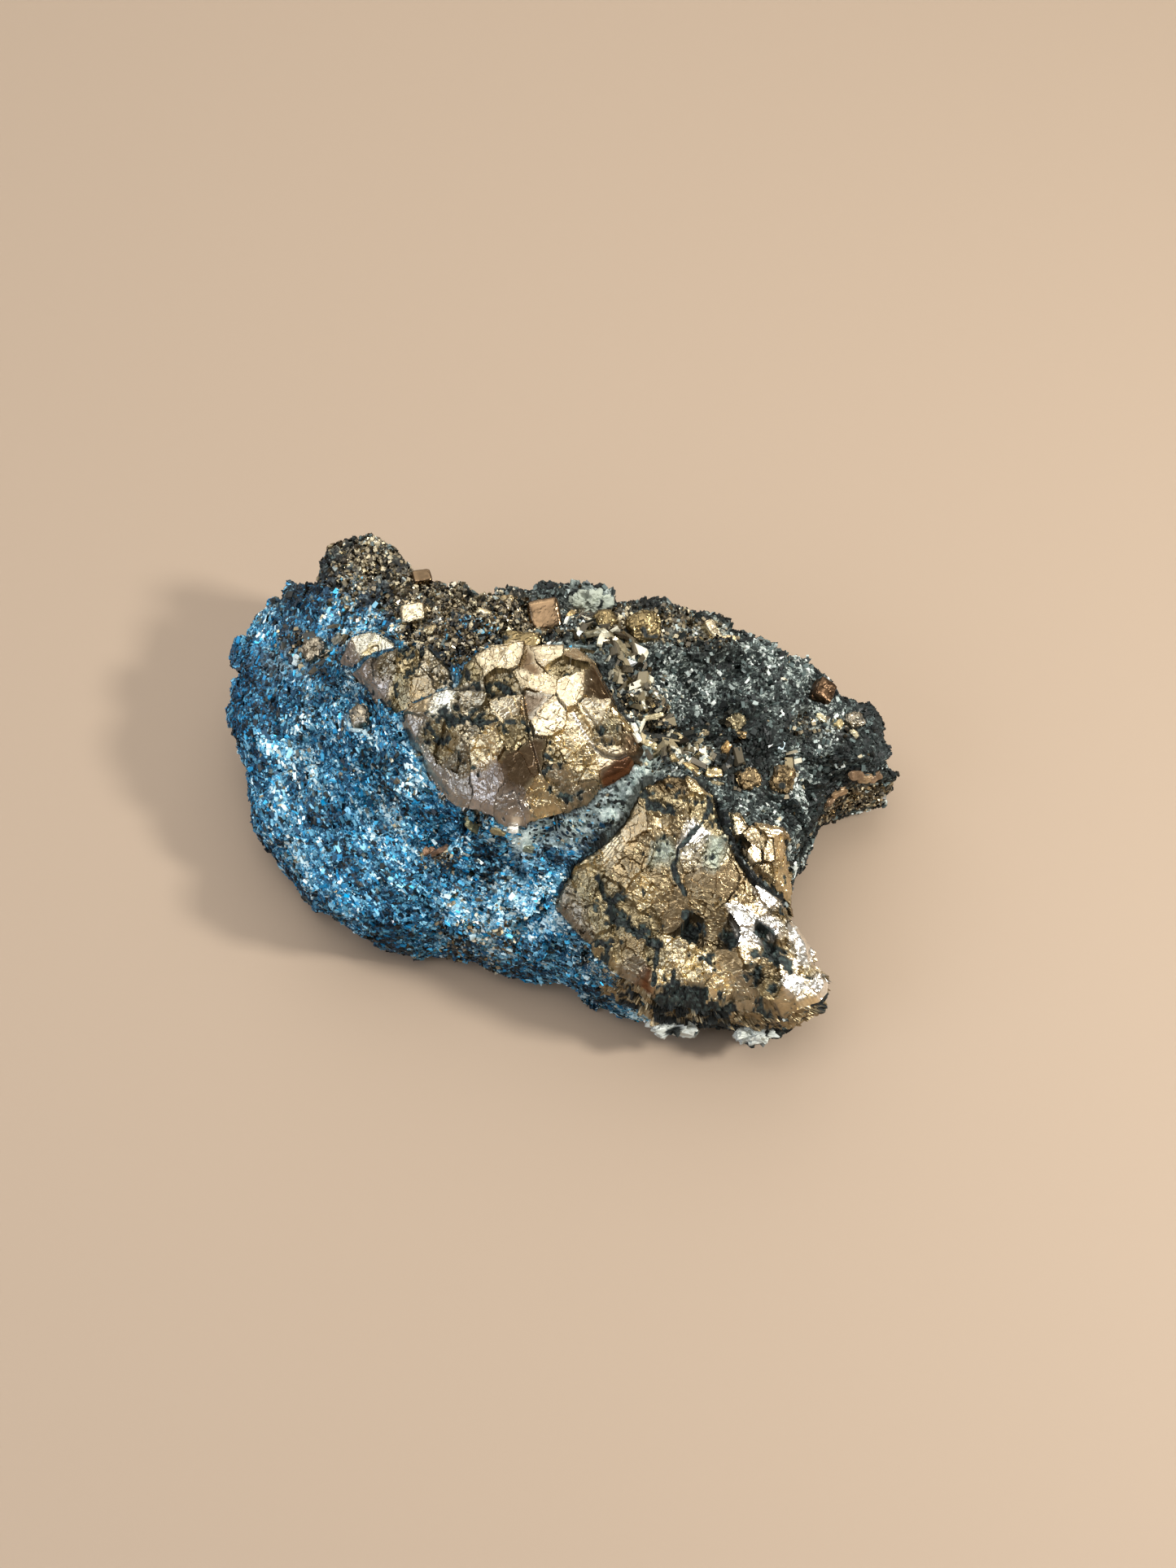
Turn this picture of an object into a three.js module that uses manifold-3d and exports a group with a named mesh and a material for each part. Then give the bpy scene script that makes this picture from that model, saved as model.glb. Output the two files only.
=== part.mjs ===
// A hand specimen of pyrite crystals in mica schist, as one three.js scene graph.
// Millimetres, +Z up. The origin lies under the middle of the specimen, in the plane that it rests on.
// The schist is one closed lump. Each crystal is a solid of its own, seated in a socket cut in the lump.
import * as THREE from 'three';
import { ConvexGeometry } from 'three/addons/geometries/ConvexGeometry.js';
import { mergeVertices } from 'three/addons/utils/BufferGeometryUtils.js';
import Module from 'manifold-3d';

const wasm = await Module();
wasm.setup();

// ---------------------------------------------------------------- driving dimensions, mm

// The widest line round the lump, anticlockwise seen from below: x, y and the height of that line.
const RIM = [
  [-30.2, 27.6, 16], [-28.6, 30, 18], [-24.8, 30.6, 19], [-20.5, 29, 19], [-18.2, 26.2, 19],
  [-13.6, 23.6, 20], [-8.3, 21.1, 21], [-2.9, 22.1, 21], [2.8, 22.6, 21], [8, 20.7, 20],
  [13.3, 20.6, 19], [18.3, 20, 18], [21.4, 18, 16], [26.6, 17.3, 15], [32, 15, 14],
  [34.5, 11.3, 13], [38.7, 9.2, 12], [40.2, 6, 11], [41.8, 2.4, 9], [41.1, 0.3, 7],
  [36.6, -0.9, 6], [32.6, -2.6, 7], [30.6, -7.2, 9], [28.4, -12.5, 10], [27.2, -17, 9],
  [28, -21.5, 7], [30, -25.5, 6], [29.5, -28.3, 6], [26.5, -30, 6], [21, -29.3, 6],
  [14.9, -29.4, 6], [10.6, -28.6, 7], [6.2, -27.4, 6], [1.6, -24.5, 6], [-4.1, -22.9, 6],
  [-10.4, -20.5, 6], [-16.5, -20.1, 6], [-23.6, -17, 6], [-29.2, -12.4, 6], [-33.9, -7, 7],
  [-37.6, -2.1, 8], [-38.8, 4.5, 9], [-40.9, 9, 10], [-41.8, 15, 11], [-40.7, 20.1, 12],
  [-37.2, 24.4, 13], [-32.1, 26.4, 14],
];

// Heights of the top, from the crest where the upper crystal stands to the foot of the flanks: x, y, z.
const HILLS = [
  [-3, 3, 33], [4, 0, 34], [-8, 8, 30.5], [3, 9, 31], [10, -5, 29], [-12, 3, 29], [-18, 6, 26],
  [-24, 9, 22.5], [-14, -4, 26], [-6, -9, 26.5], [2, -10, 26], [10, -10, 27], [16, -12, 26.5],
  [14, -18, 23], [8, -18, 22], [3, -19, 19.5], [8, -24, 16], [15, -26, 16], [22, -18, 22],
  [27, -22, 16], [22, -10, 25], [20, 0, 25], [16, 6, 25], [26, 2, 21], [33, 3, 16], [26, 8, 20],
  [20, 12, 21], [12, 14, 25], [6, 16, 26], [0, 15, 27], [-8, 15, 26.5], [-16, 15, 24.5],
  [-22, 17, 21], [-24, 26, 23], [-20, 24, 22], [-27, 21, 16.5], [-28, 14, 20], [-34, 12, 17],
  [-38, 16, 15], [-30, 4, 19], [-34, 2, 15], [-27, -3, 18], [-30, -8, 13], [-22, -10, 16],
  [-16, -12, 19], [-10, -15, 18.5], [-6, -19, 13], [-15, -17, 12], [0, -15, 19], [12, -29, 13.5],
  [20, -29, 13.5], [27, -29, 12.5], [31, -27, 13],
];
const HILL_REACH = 4.5; // how far each height above is felt
const SHOULDER = 0.35; // below 1 the flanks are steep and the shoulders full
const SINK = 0.8; // how far the underside would pass below the resting plane before it is worn flat
const SPINE = [0.55, 0.5, 10]; // share of x and y, and height, of the line that the relief points away from
const RINGS = 18; // rings of faces from the crown to the rim; the underside has half as many
const RING_PACKING = { above: 1.3, below: 2 }; // above 1, the rings lie closer together near the rim
const RIM_RELIEF = 0.3; // share of the relief that is left at the rim

const LUMP = { size: 13, height: 1.1 }; // broad swellings of the schist
const CHIPS = [{ size: 8.5, slope: 0.17 }, { size: 3.8, slope: 0.17 }]; // tilted broken faces
const GAP = 0.3; // clear space between a crystal and its socket
const CORNER_STEP = 0.017; // plates meet at corners rounded to this odd step, so that none falls halfway
const TAPER = 1.5; // how much wider all round a plate is at its foot than at its top
const FOOT_STEP = 0.01; // each plate's foot is this much deeper than the last, so that no two lie in one plane

// Crystal outlines seen from above, x and y, and the height of the foot of each.
// Faces: the crystal's natural planes, of which the lowest counts: x, y, z, slope along x and along y.
// Plates, the steps that a face is broken into: x, y, lift off the face, and slopes added to the face's.
const CRYSTALS = {
  pyrite_crystal_upper: {
    foot: 15,
    outline: [
      [-18.5, 2], [-17, 3.2], [-14.3, 3.8], [-11.8, 4.3], [-11.2, 6.4], [-9.6, 8.1], [-7.7, 8.7],
      [-4, 8.4], [1, 8.2], [2.8, 8.4], [4, 6], [5.4, 3.3], [6.5, 1.5], [7.4, 0], [8.6, -1.2],
      [9.3, -2.3], [10.3, -3.7], [10, -5.4], [8.6, -7.2], [6.8, -8], [5.1, -8.5], [4.5, -9.5],
      [2.8, -10.2], [0.8, -10.6], [-2, -10.9], [-3.8, -11.7], [-6.2, -11.5], [-7.6, -10.8],
      [-9, -10], [-11.2, -9], [-12.8, -7.7], [-14.4, -5.6], [-15.9, -3.5], [-17, -1.6], [-17.9, 0.2],
    ],
    faces: [
      [0, 3, 33, 0.06, -0.1], [0, -3, 31.5, 0.04, 0.55], [-9, 3, 30.6, 0.36, 0.12],
      [7, -1, 31.6, -0.75, 0.1], [-15.5, -3, 25, 0.8, 0.7], [-2, 8, 31.6, 0, -0.7],
      [-5, -9.8, 26.6, 0, 1.2],
    ],
    plates: [
      [-17, 0.5, 0, 0, -0.1], [-16, -3, 0.1, 0, 0], [-13, -6, 0, 0, 0.05],
      [-11.5, -8, 0, -0.05, 0], [-8.5, -10, 0, 0, 0.1], [-5.5, -10.5, 0.2, 0, 0.1],
      [-16, 2.5, 0, 0.1, -0.1], [-13.5, 2, 0.3, 0, 0.1], [-14.5, -1, 0.25, -0.1, 0.1],
      [-12.5, -2, -0.4, 0.15, 0], [-10, -2, 0.2, 0, 0.15], [-8.5, -1, -0.4, 0, -0.1],
      [-8.5, -4.5, 0.3, -0.1, -0.1], [-11.5, -4.5, 0.1, 0.1, 0.1], [-10.5, 1.5, 0.1, 0.1, 0.2],
      [-5.5, 0, 0, 0.1, 0], [-4, -3, -0.3, -0.1, 0.1], [-4, -6, -0.2, 0.1, 0.15],
      [-7.5, -8, 0, 0.1, 0.1], [-10.5, 6, -0.4, 0.2, 0], [-7.5, 7, 0, 0, -0.15],
      [-5, 6, 0.3, -0.1, 0], [-3, 5.5, -0.2, 0.25, 0.2], [-1, 6.5, 0.3, 0.1, -0.1],
      [1, 4, -0.3, 0, 0.1], [2.5, 6.5, 0.3, -0.1, -0.1], [-5.5, 3, -0.6, 0.1, 0.1],
      [-4, 3.5, 0.1, 0.1, -0.1], [-1.5, 2, 0, -0.1, 0], [-2.5, 0, -0.3, 0.1, 0.25],
      [2, 1, 0.6, 0, 0.1], [5, 1, 0.1, 0, 0.05], [-1, -2, 0.3, 0.1, -0.2], [1, -5, 0.1, 0, 0],
      [3, -7, 0.3, -0.1, 0.1], [2.5, -3, -0.1, -0.2, 0], [6, -3.5, 0.5, 0.2, 0.15],
      [4.5, -1.5, 0.7, 0.1, 0], [8, -1.5, 0, 0.1, 0], [9, -4, -0.3, 0, 0.2],
      [7, -7, -0.3, 0, 0.25], [6, -5.5, -0.3, 0, -0.1], [-1, -6, -0.3, 0, 0.1],
      [0.5, -8, 0, 0.1, 0.2], [3, -9, 0.2, 0, 0.15], [-1.5, -9.5, 0, 0.1, 0.1],
    ],
  },
  pyrite_crystal_lower: {
    foot: 7.2,
    outline: [
      [0, -18], [1, -16.2], [1.8, -14.8], [3.6, -13.9], [5.2, -13.1], [6.8, -12.1], [8, -11],
      [8.6, -9.6], [9.6, -8.3], [10.8, -7.2], [13.7, -6.3], [16.6, -6.9], [18.7, -8.5],
      [19.6, -10.8], [20.3, -13.4], [21.8, -15.5], [23, -16.9], [24.8, -17.5], [27, -18.6],
      [27.2, -20], [28.6, -21.2], [29.9, -22.8], [30.1, -24.5], [31.1, -25.7], [32.2, -26.4],
      [32.3, -27.8], [31.5, -29.3], [29.4, -30.4], [27.2, -31.2], [25.2, -30.8], [22.3, -30.5],
      [15.8, -30.3], [11.8, -30], [10.8, -28.9], [10.1, -28.2], [8.2, -27.3], [5.9, -25.8],
      [4.3, -24.3], [2.5, -22.3], [1, -20.5], [0.1, -19.2],
    ],
    faces: [
      [13, -17, 22.3, 0.05, 0.58], [3, -18, 19.6, 0.45, 0.35], [21.6, -24, 18.7, -0.5, 0.4],
      [13.5, -8, 26.6, -0.02, 0.1], [15, -29.3, 14, 0, 1.6], [19, -12, 24.6, -0.4, 0.2],
    ],
    plates: [
      [1, -18.5, 0, 0.1, 0], [3, -16.5, -0.2, 0.1, 0], [3.5, -14.5, 0, 0, -0.2],
      [6.5, -13.5, 0.1, 0.1, -0.1], [9.5, -11, 0.4, 0, 0], [10, -14, 0.2, 0.1, -0.1],
      [12.5, -10, -0.3, 0, 0], [13.5, -7.5, 0.1, 0, -0.2], [17.5, -7, 0, -0.2, -0.1],
      [11.5, -12.5, 0.3, -0.1, 0], [14.5, -13, 0, -0.1, 0], [15.5, -14, 0.8, 0.2, 0.1],
      [12.5, -15, -0.2, 0.1, 0], [18, -15.5, 0.2, 0, 0], [19.5, -17, 0.2, -0.1, 0.1],
      [17.5, -11, -0.4, 0, 0.1], [21, -16.5, 0, -0.3, 0], [22, -18.5, -0.2, -0.2, 0],
      [13.5, -16.5, 0.3, 0, -0.1], [15.5, -17, 0.1, 0.1, 0.1], [7.5, -17, 0.2, 0, 0],
      [3.5, -18.1, 0.2, 0, 0], [2, -20, 0, 0, 0], [2.5, -22.5, 0, 0, 0.1],
      [5, -21, 0.3, 0.1, 0], [6, -18.5, -0.5, 0, 0], [8, -21.5, -0.6, 0, 0],
      [11, -21.5, -0.5, 0.1, 0], [10, -19, 0.2, 0, 0], [12.5, -20, 0.4, 0, 0.1],
      [13.5, -22, 0.5, 0.1, 0.1], [17.2, -20.4, 0.2, 0, 0], [15.5, -22.5, -1.3, 0, 0],
      [18.5, -22.5, 0.3, 0, 0.2], [20.5, -23.5, -0.5, 0, 0], [9, -24.5, 0.3, 0.1, 0],
      [6, -25, -0.3, 0.1, 0.1], [9, -27, 0, 0.1, 0.2], [12.5, -25, -0.5, 0, 0],
      [14.5, -25, 0.2, 0, 0.1], [16.5, -26.5, 0.3, 0, 0.2], [19.5, -25.5, 0.1, 0, 0.1],
      [18.5, -28, 0, 0, 0.1], [22.1, -28.4, 0, 0.1, 0.2], [11.5, -28.5, -0.2, 0.1, 0.1],
      [15, -29.5, -0.2, 0, 0], [19.5, -29.5, -0.2, 0, 0],
      [24.6, -18.7, 0.4, 0.1, -0.1], [21.4, -21.4, 0.2, -0.1, 0], [23.4, -20, -0.1, 0, 0.1],
      [22.7, -22.7, 0.1, -0.1, 0], [25.8, -20.3, -0.4, 0, 0], [25, -21.7, 0.3, 0, 0],
      [28.2, -22.2, 0.3, -0.1, 0], [24.4, -23.1, -0.6, 0, 0], [23, -24.8, 0, -0.1, 0],
      [26.8, -23.7, 0, 0.1, 0], [29.1, -24, 0.2, -0.1, 0.1], [25.3, -25.9, -0.4, 0, 0.1],
      [27.2, -25.3, 0.2, 0, 0], [29.6, -25.9, 0.1, 0, 0], [31, -27.6, 0.5, -0.1, 0.1],
      [28.1, -27.8, 0.2, 0, 0.1], [23.6, -27, -0.4, 0, 0.1], [25, -28.2, -0.3, 0, 0.1],
      [26.7, -29.5, 0, 0, 0.4], [29.6, -29.2, 0.2, 0, 0.4], [25.4, -30.6, -0.8, 0, 0.5],
      [27.3, -30.9, -0.6, 0, 0.6],
    ],
  },
  pyrite_crystal_right: {
    foot: 11,
    outline: [
      [20.2, -10], [21.6, -9.8], [22.6, -11], [24.5, -10.7], [26.8, -10.6], [27.6, -11.5],
      [27.4, -13], [27.6, -15], [28, -16.8], [27.6, -18.2], [26.6, -18.1], [24.7, -17.2],
      [23.3, -16.6], [22.2, -15.3], [20.8, -13.4], [20.4, -11.7],
    ],
    faces: [[23.5, -13.5, 22.6, -0.5, 0.15], [27, -15, 19.8, -1.1, 0.3]],
    plates: [
      [21, -10.8, 0, 0, 0.2], [25, -11.3, 0.8, 0, -0.1], [23.7, -12.9, 0.3, 0, 0],
      [25, -14.1, 0.7, -0.1, 0.1], [26.5, -14.1, 0.2, -0.3, 0], [21.5, -14.1, -0.8, 0, 0],
      [23, -14.7, 0, 0.1, 0.1], [24.1, -16.4, -0.3, 0, 0.2], [26.6, -16.7, 0, -0.2, 0.3],
    ],
  },
  pyrite_block_left_top: {
    foot: 14,
    outline: [
      [-25.6, 11.5], [-24.8, 15.2], [-23.2, 15.9], [-20.8, 14.5], [-19.1, 12.3], [-19.4, 10.4],
      [-21.3, 10.4], [-22.8, 10.2], [-24.6, 8.4], [-25.6, 9.6],
    ],
    faces: [[-21, 12.5, 24.2, 0.3, -0.05], [-24.8, 10.5, 21.6, 1.2, 0.3]],
    plates: [
      [-24.8, 10.5, 0, 0, 0], [-22.5, 13.3, 0.2, 0.1, -0.15], [-20.6, 13.3, 0, -0.1, -0.2],
      [-22.8, 11.5, 0.3, 0, 0.1], [-20.8, 11.2, 0, -0.2, 0.1],
    ],
  },
  pyrite_block_left_lower: {
    foot: 14,
    outline: [
      [-24.3, 8.2], [-22.8, 10], [-21.2, 10.2], [-19.3, 10.1], [-18.8, 11.7], [-17.4, 11.7],
      [-15.5, 10.4], [-13.9, 8.2], [-11.8, 5.4], [-12.3, 4.5], [-14.2, 4], [-16.7, 3.5],
      [-18.5, 2.2], [-20.6, 3.3], [-22.8, 5.6],
    ],
    faces: [[-18, 8, 26, 0.4, 0.1], [-22.3, 6.2, 22.6, 1, 0.7]],
    plates: [
      [-22.9, 6.8, 0, 0, 0], [-21, 4.6, 0, -0.1, 0.1], [-20.4, 8, 0.2, 0.1, 0.1],
      [-18.7, 5.2, 0.1, 0.1, 0.2], [-17.4, 8.2, -0.3, 0, 0], [-15.4, 8.3, 0.2, -0.1, 0],
      [-13.3, 6.1, 0, -0.2, 0.1], [-15.7, 5.1, 0.1, 0, 0.15],
    ],
  },
};
const CRYSTAL_TOP = 60; // higher than any plate, where the sockets' cutters end

// Small crystals: place, edge lengths, turn about X, Y and Z in degrees, and how deep the middle is sunk.
const SMALL = {
  pyrite_cube_knob: { at: [-17.8, 18.9], size: [3.2, 2.6, 3], turn: [12, -10, 8], sunk: 0.5 },
  pyrite_plate_knob: { at: [-17.2, 25], size: [2.4, 2, 1.4], turn: [-8, 6, 15], sunk: 0.1 },
  pyrite_cube_crest: { at: [-1.4, 16.2], size: [4, 4.2, 3.6], turn: [28, -6, 10], sunk: 0.9 },
  pyrite_block_amber: { at: [-4.2, 10.9], size: [4.6, 2.6, 3], turn: [18, 4, -6], sunk: 0.8 },
  pyrite_rounded_large: { at: [10.6, 15.6], size: [4.2, 4, 3.6], turn: [22, 10, 16], sunk: 0.7 },
  pyrite_rounded_small: { at: [6, 16], size: [2.8, 2.8, 2.8], turn: [12, -12, 24], sunk: 0.7 },
  pyrite_blade_crest: { at: [19.2, 17.2], size: [1.4, 3.2, 2.4], turn: [14, 20, 32], sunk: 0.3 },
  pyrite_grain_arm_pale: { at: [21.5, 3.3], size: [2.4, 2, 2], turn: [10, 25, 40], sunk: 0.3 },
  pyrite_grain_arm_brown: { at: [27.4, -2.5], size: [2.6, 3.4, 2.4], turn: [18, -12, -14], sunk: 0.5 },
  pyrite_grain_arm_near: { at: [22.8, -4.3], size: [2.8, 2.4, 2.4], turn: [22, 10, 20], sunk: 0.6 },
  pyrite_block_arm_edge: { at: [33, 11], size: [2.6, 3, 3.2], turn: [8, 24, -24], sunk: 0.8 },
  pyrite_grain_arm_tip: { at: [37, 7.4], size: [2.4, 2, 2], turn: [-10, 16, 20], sunk: 0.4 },
  pyrite_grain_left_near: { at: [-23.9, 4.9], size: [2.2, 2.8, 2], turn: [6, -24, 12], sunk: 0.5 },
  pyrite_grain_left_far: { at: [-30.6, 16.5], size: [3, 2.8, 2.4], turn: [10, -20, 30], sunk: 0.6 },
  quartz_crust_near: { at: [13.2, -30.6], size: [5, 1.8, 2.6], turn: [6, 4, -4], z: 6.2 },
  quartz_crust_corner: { at: [23.6, -31.1], size: [4.6, 1.8, 2.4], turn: [4, -4, 3], z: 5.4 },
  quartz_crust_crest: { at: [4.2, 19.6], size: [4.8, 2.4, 2.4], turn: [-16, 4, -6], sunk: 0.5 },
};
const TOLERANCE = 0.005; // edges shorter than this are closed up when solids are joined or cut
const CORNER_CUT = 0.28; // share of an edge that a small crystal has lost at its corners
const MIDDLE = { x: -0.1, y: -0.6 }; // middle of the plan in the coordinates above, which becomes the origin

// ---------------------------------------------------------------- materials

const COLOURS = {
  matrix: { color: 0x56615f, roughness: 0.75, metalness: 0 },
  pyrite: { color: 0xb08f5c, roughness: 0.35, metalness: 1 },
  quartz: { color: 0xc3c6c4, roughness: 0.45, metalness: 0 },
};

// A piece's name starts with what it is made of.
function materialOf(name) {
  return new THREE.MeshStandardMaterial(COLOURS[name.split('_')[0]]);
}

// ---------------------------------------------------------------- noise

function hash(i, j, k, seed) {
  const s = Math.sin(i * 127.1 + j * 311.7 + k * 74.7 + seed * 19.3) * 43758.5453;
  return s - Math.floor(s);
}

// Smooth noise between -1 and 1 that changes over about one size.
function swell(p, size, seed) {
  const q = p.map((c) => c / size);
  const cell = q.map(Math.floor);
  const [u, v, w] = q.map((c, n) => (c - cell[n]) ** 2 * (3 - 2 * (c - cell[n])));
  let sum = 0;
  for (let n = 0; n < 8; n += 1) {
    const [a, b, c] = [n & 1, (n >> 1) & 1, (n >> 2) & 1];
    const share = (a ? u : 1 - u) * (b ? v : 1 - v) * (c ? w : 1 - w);
    sum += share * hash(cell[0] + a, cell[1] + b, cell[2] + c, seed);
  }
  return 2 * sum - 1;
}

// Broken faces: space is parted among random centres, and each part is one tilted plane.
function chip(p, size, slope, seed) {
  const q = p.map((c) => c / size);
  const cell = q.map(Math.floor);
  let nearest = Infinity;
  let height = 0;
  for (let n = 0; n < 27; n += 1) {
    const step = [n % 3, Math.floor(n / 3) % 3, Math.floor(n / 9)];
    const key = cell.map((c, axis) => c + step[axis] - 1);
    const away = q.map((c, axis) => c - key[axis] - hash(...key, seed + axis));
    const d = away[0] ** 2 + away[1] ** 2 + away[2] ** 2;
    if (d < nearest) {
      nearest = d;
      const tilt = away.map((_, axis) => 2 * hash(...key, seed + 3 + axis) - 1);
      height = size * slope * (away[0] * tilt[0] + away[1] * tilt[1] + away[2] * tilt[2]) * 2;
    }
  }
  return height;
}

// ---------------------------------------------------------------- the lump

// A closed smooth curve through the rim points (Catmull-Rom), as angle, radius and height.
function rimLine() {
  const steps = 8;
  const curve = new THREE.CatmullRomCurve3(RIM.map((p) => new THREE.Vector3(...p)), true, 'catmullrom', 0.5);
  const line = [];
  for (let n = 0; n < RIM.length * steps; n += 1) {
    const p = curve.getPoint(n / (RIM.length * steps));
    line.push({ angle: Math.atan2(p.y, p.x), radius: Math.hypot(p.x, p.y), z: p.z });
  }
  return line.sort((a, b) => a.angle - b.angle);
}

const LINE = rimLine();

// Radius and height of the rim in one direction.
function rimAt(angle) {
  const turn = 2 * Math.PI;
  let after = LINE.findIndex((p) => p.angle > angle);
  if (after < 0) after = LINE.length;
  const a = LINE[(after - 1 + LINE.length) % LINE.length];
  const b = LINE[after % LINE.length];
  const span = (b.angle - a.angle + turn) % turn || turn;
  const share = ((angle - a.angle + turn) % turn) / span;
  return { radius: a.radius + share * (b.radius - a.radius), z: a.z + share * (b.z - a.z) };
}

// The ground's height without its shoulders: the heights of HILLS, each weighted by its nearness.
function hillAt(x, y) {
  let sum = 0;
  let total = 0;
  for (const [hx, hy, hz] of HILLS) {
    const d = (x - hx) ** 2 + (y - hy) ** 2;
    const weight = Math.exp(-d / (2 * HILL_REACH ** 2)) + 1e-9 / (1 + d);
    sum += weight * hz;
    total += weight;
  }
  return sum / total;
}

function relief(p) {
  const chips = CHIPS.reduce((sum, c, n) => sum + chip(p, c.size, c.slope, 7 + 10 * n), 0);
  return LUMP.height * swell(p, LUMP.size, 1) + chips;
}

// A point of the lump: share of the way from the crown (or the foot) to the rim, and the direction.
function lumpPoint(share, angle, below) {
  const rim = rimAt(angle);
  const packed = 1 - (1 - share) ** (below ? RING_PACKING.below : RING_PACKING.above);
  const f = Math.sin((packed * Math.PI) / 2);
  const full = Math.max(0, 1 - f * f) ** (SHOULDER / 2);
  const x = f * rim.radius * Math.cos(angle);
  const y = f * rim.radius * Math.sin(angle);
  const z = below ? rim.z - (rim.z + SINK) * full : rim.z + (hillAt(x, y) - rim.z) * full;
  const away = new THREE.Vector3(x - SPINE[0] * x, y - SPINE[1] * y, z - SPINE[2]).normalize();
  const height = relief([x, y, z]) * Math.min(1, RIM_RELIEF + full);
  const p = new THREE.Vector3(x, y, z).addScaledVector(away, height);
  p.z = Math.max(0, p.z);
  return p;
}

// Rings of points round the crown: ring r has 8 r of them. Two sheets meet at the rim, where
// the underside has half as many points as the top.
function lumpGeometry() {
  const points = [];
  const ring = (r, rings, below) => {
    const start = points.length;
    const count = Math.max(1, 8 * r);
    for (let n = 0; n < count; n += 1) {
      const angle = ((n / count + 0.5) % 1) * 2 * Math.PI - Math.PI;
      points.push(lumpPoint(r / rings, angle, below));
    }
    return { start, count };
  };
  const faces = [];
  const face = (a, b, c, flip) => faces.push(...(flip ? [a, c, b] : [a, b, c]));
  // Joins a ring to the next one out, side by side: each eighth of the outer ring has one point more.
  const join = (inner, outer, flip) => {
    const eighth = Math.round(outer.count / 8);
    for (let side = 0; side < 8; side += 1) {
      for (let n = 0; n < eighth; n += 1) {
        const o = outer.start + ((side * eighth + n) % outer.count);
        const o1 = outer.start + ((side * eighth + n + 1) % outer.count);
        const i = inner.start + ((side * (eighth - 1) + n) % inner.count);
        face(i, o, o1, flip);
        if (n < eighth - 1) {
          const i1 = inner.start + ((side * (eighth - 1) + n + 1) % inner.count);
          face(i, o1, i1, flip);
        }
      }
    }
  };
  let above = ring(0, RINGS, false);
  for (let r = 1; r <= RINGS; r += 1) {
    const next = ring(r, RINGS, false);
    join(above, next, false);
    above = next;
  }
  const half = RINGS / 2;
  let under = ring(0, half, true);
  for (let r = 1; r < half; r += 1) {
    const next = ring(r, half, true);
    join(under, next, true);
    under = next;
  }
  // The last ring of the underside is every other point of the rim, and the strip between is closed.
  const last = { start: points.length, count: 8 * half };
  for (let n = 0; n < last.count; n += 1) points.push(points[above.start + 2 * n].clone());
  join(under, last, true);
  for (let n = 0; n < last.count; n += 1) {
    const [a, b] = [above.start + 2 * n, above.start + ((2 * n + 2) % above.count)];
    face(a, above.start + 2 * n + 1, b, true);
  }
  const geometry = new THREE.BufferGeometry();
  geometry.setAttribute('position', new THREE.Float32BufferAttribute(points.flatMap((p) => p.toArray()), 3));
  geometry.setIndex(faces);
  return geometry;
}

// ---------------------------------------------------------------- solids

function solidOf(geometry) {
  geometry.deleteAttribute('normal');
  geometry.deleteAttribute('uv');
  const merged = mergeVertices(geometry, 1e-4);
  return new wasm.Manifold(new wasm.Mesh({
    numProp: 3,
    vertProperties: new Float32Array(merged.attributes.position.array),
    triVerts: new Uint32Array(merged.index.array),
    tolerance: TOLERANCE,
  }));
}

// The largest of a solid's separate bodies: splinters left between two sockets are dropped.
function largestBody(solid) {
  return solid.decompose().reduce((most, body) => (body.volume() > most.volume() ? body : most));
}

function geometryOf(solid) {
  const mesh = solid.getMesh();
  const geometry = new THREE.BufferGeometry();
  geometry.setAttribute('position', new THREE.BufferAttribute(mesh.vertProperties, 3));
  geometry.setIndex(new THREE.BufferAttribute(mesh.triVerts, 1));
  return geometry;
}

function area(outline) {
  return outline.reduce((sum, [x, y], n) => {
    const [x1, y1] = outline[(n + 1) % outline.length];
    return sum + (x * y1 - x1 * y) / 2;
  }, 0);
}

// An outline grown by a distance, each corner moved out along the mean of its two sides' normals.
function grown(outline, by) {
  const turn = Math.sign(area(outline));
  return outline.map(([x, y], n) => {
    const [xa, ya] = outline[(n - 1 + outline.length) % outline.length];
    const [xb, yb] = outline[(n + 1) % outline.length];
    const before = new THREE.Vector2(y - ya, xa - x).normalize();
    const after = new THREE.Vector2(yb - y, x - xb).normalize();
    const out = before.clone().add(after).normalize();
    const reach = (by * turn) / Math.max(0.5, out.dot(before));
    return [x + out.x * reach, y + out.y * reach];
  });
}

function column(outline, foot, top) {
  const shape = new THREE.Shape(outline.map(([x, y]) => new THREE.Vector2(x, y)));
  const geometry = new THREE.ExtrudeGeometry(shape, { depth: top - foot, bevelEnabled: false });
  geometry.translate(0, 0, foot);
  return solidOf(geometry);
}

// The part of the plan that lies nearer to one plate's middle than to any other's, within a frame.
function plateOutline(plates, index, frame) {
  const [x, y] = plates[index];
  let cell = frame;
  plates.forEach(([ox, oy], other) => {
    if (other === index) return;
    const [nx, ny] = [ox - x, oy - y];
    const limit = (ox * ox + oy * oy - x * x - y * y) / 2;
    const past = cell.map(([px, py]) => px * nx + py * ny - limit);
    cell = cell.flatMap((p, n) => {
      const m = (n + 1) % past.length;
      const kept = past[n] <= 0 ? [p] : [];
      if (past[n] <= 0 === past[m] <= 0) return kept;
      const t = past[n] / (past[n] - past[m]);
      return [...kept, [p[0] + t * (cell[m][0] - p[0]), p[1] + t * (cell[m][1] - p[1])]];
    });
  });
  return cell.map((p) => p.map(rounded));
}

function rounded(length) {
  return Math.round(length / CORNER_STEP) * CORNER_STEP;
}

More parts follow.
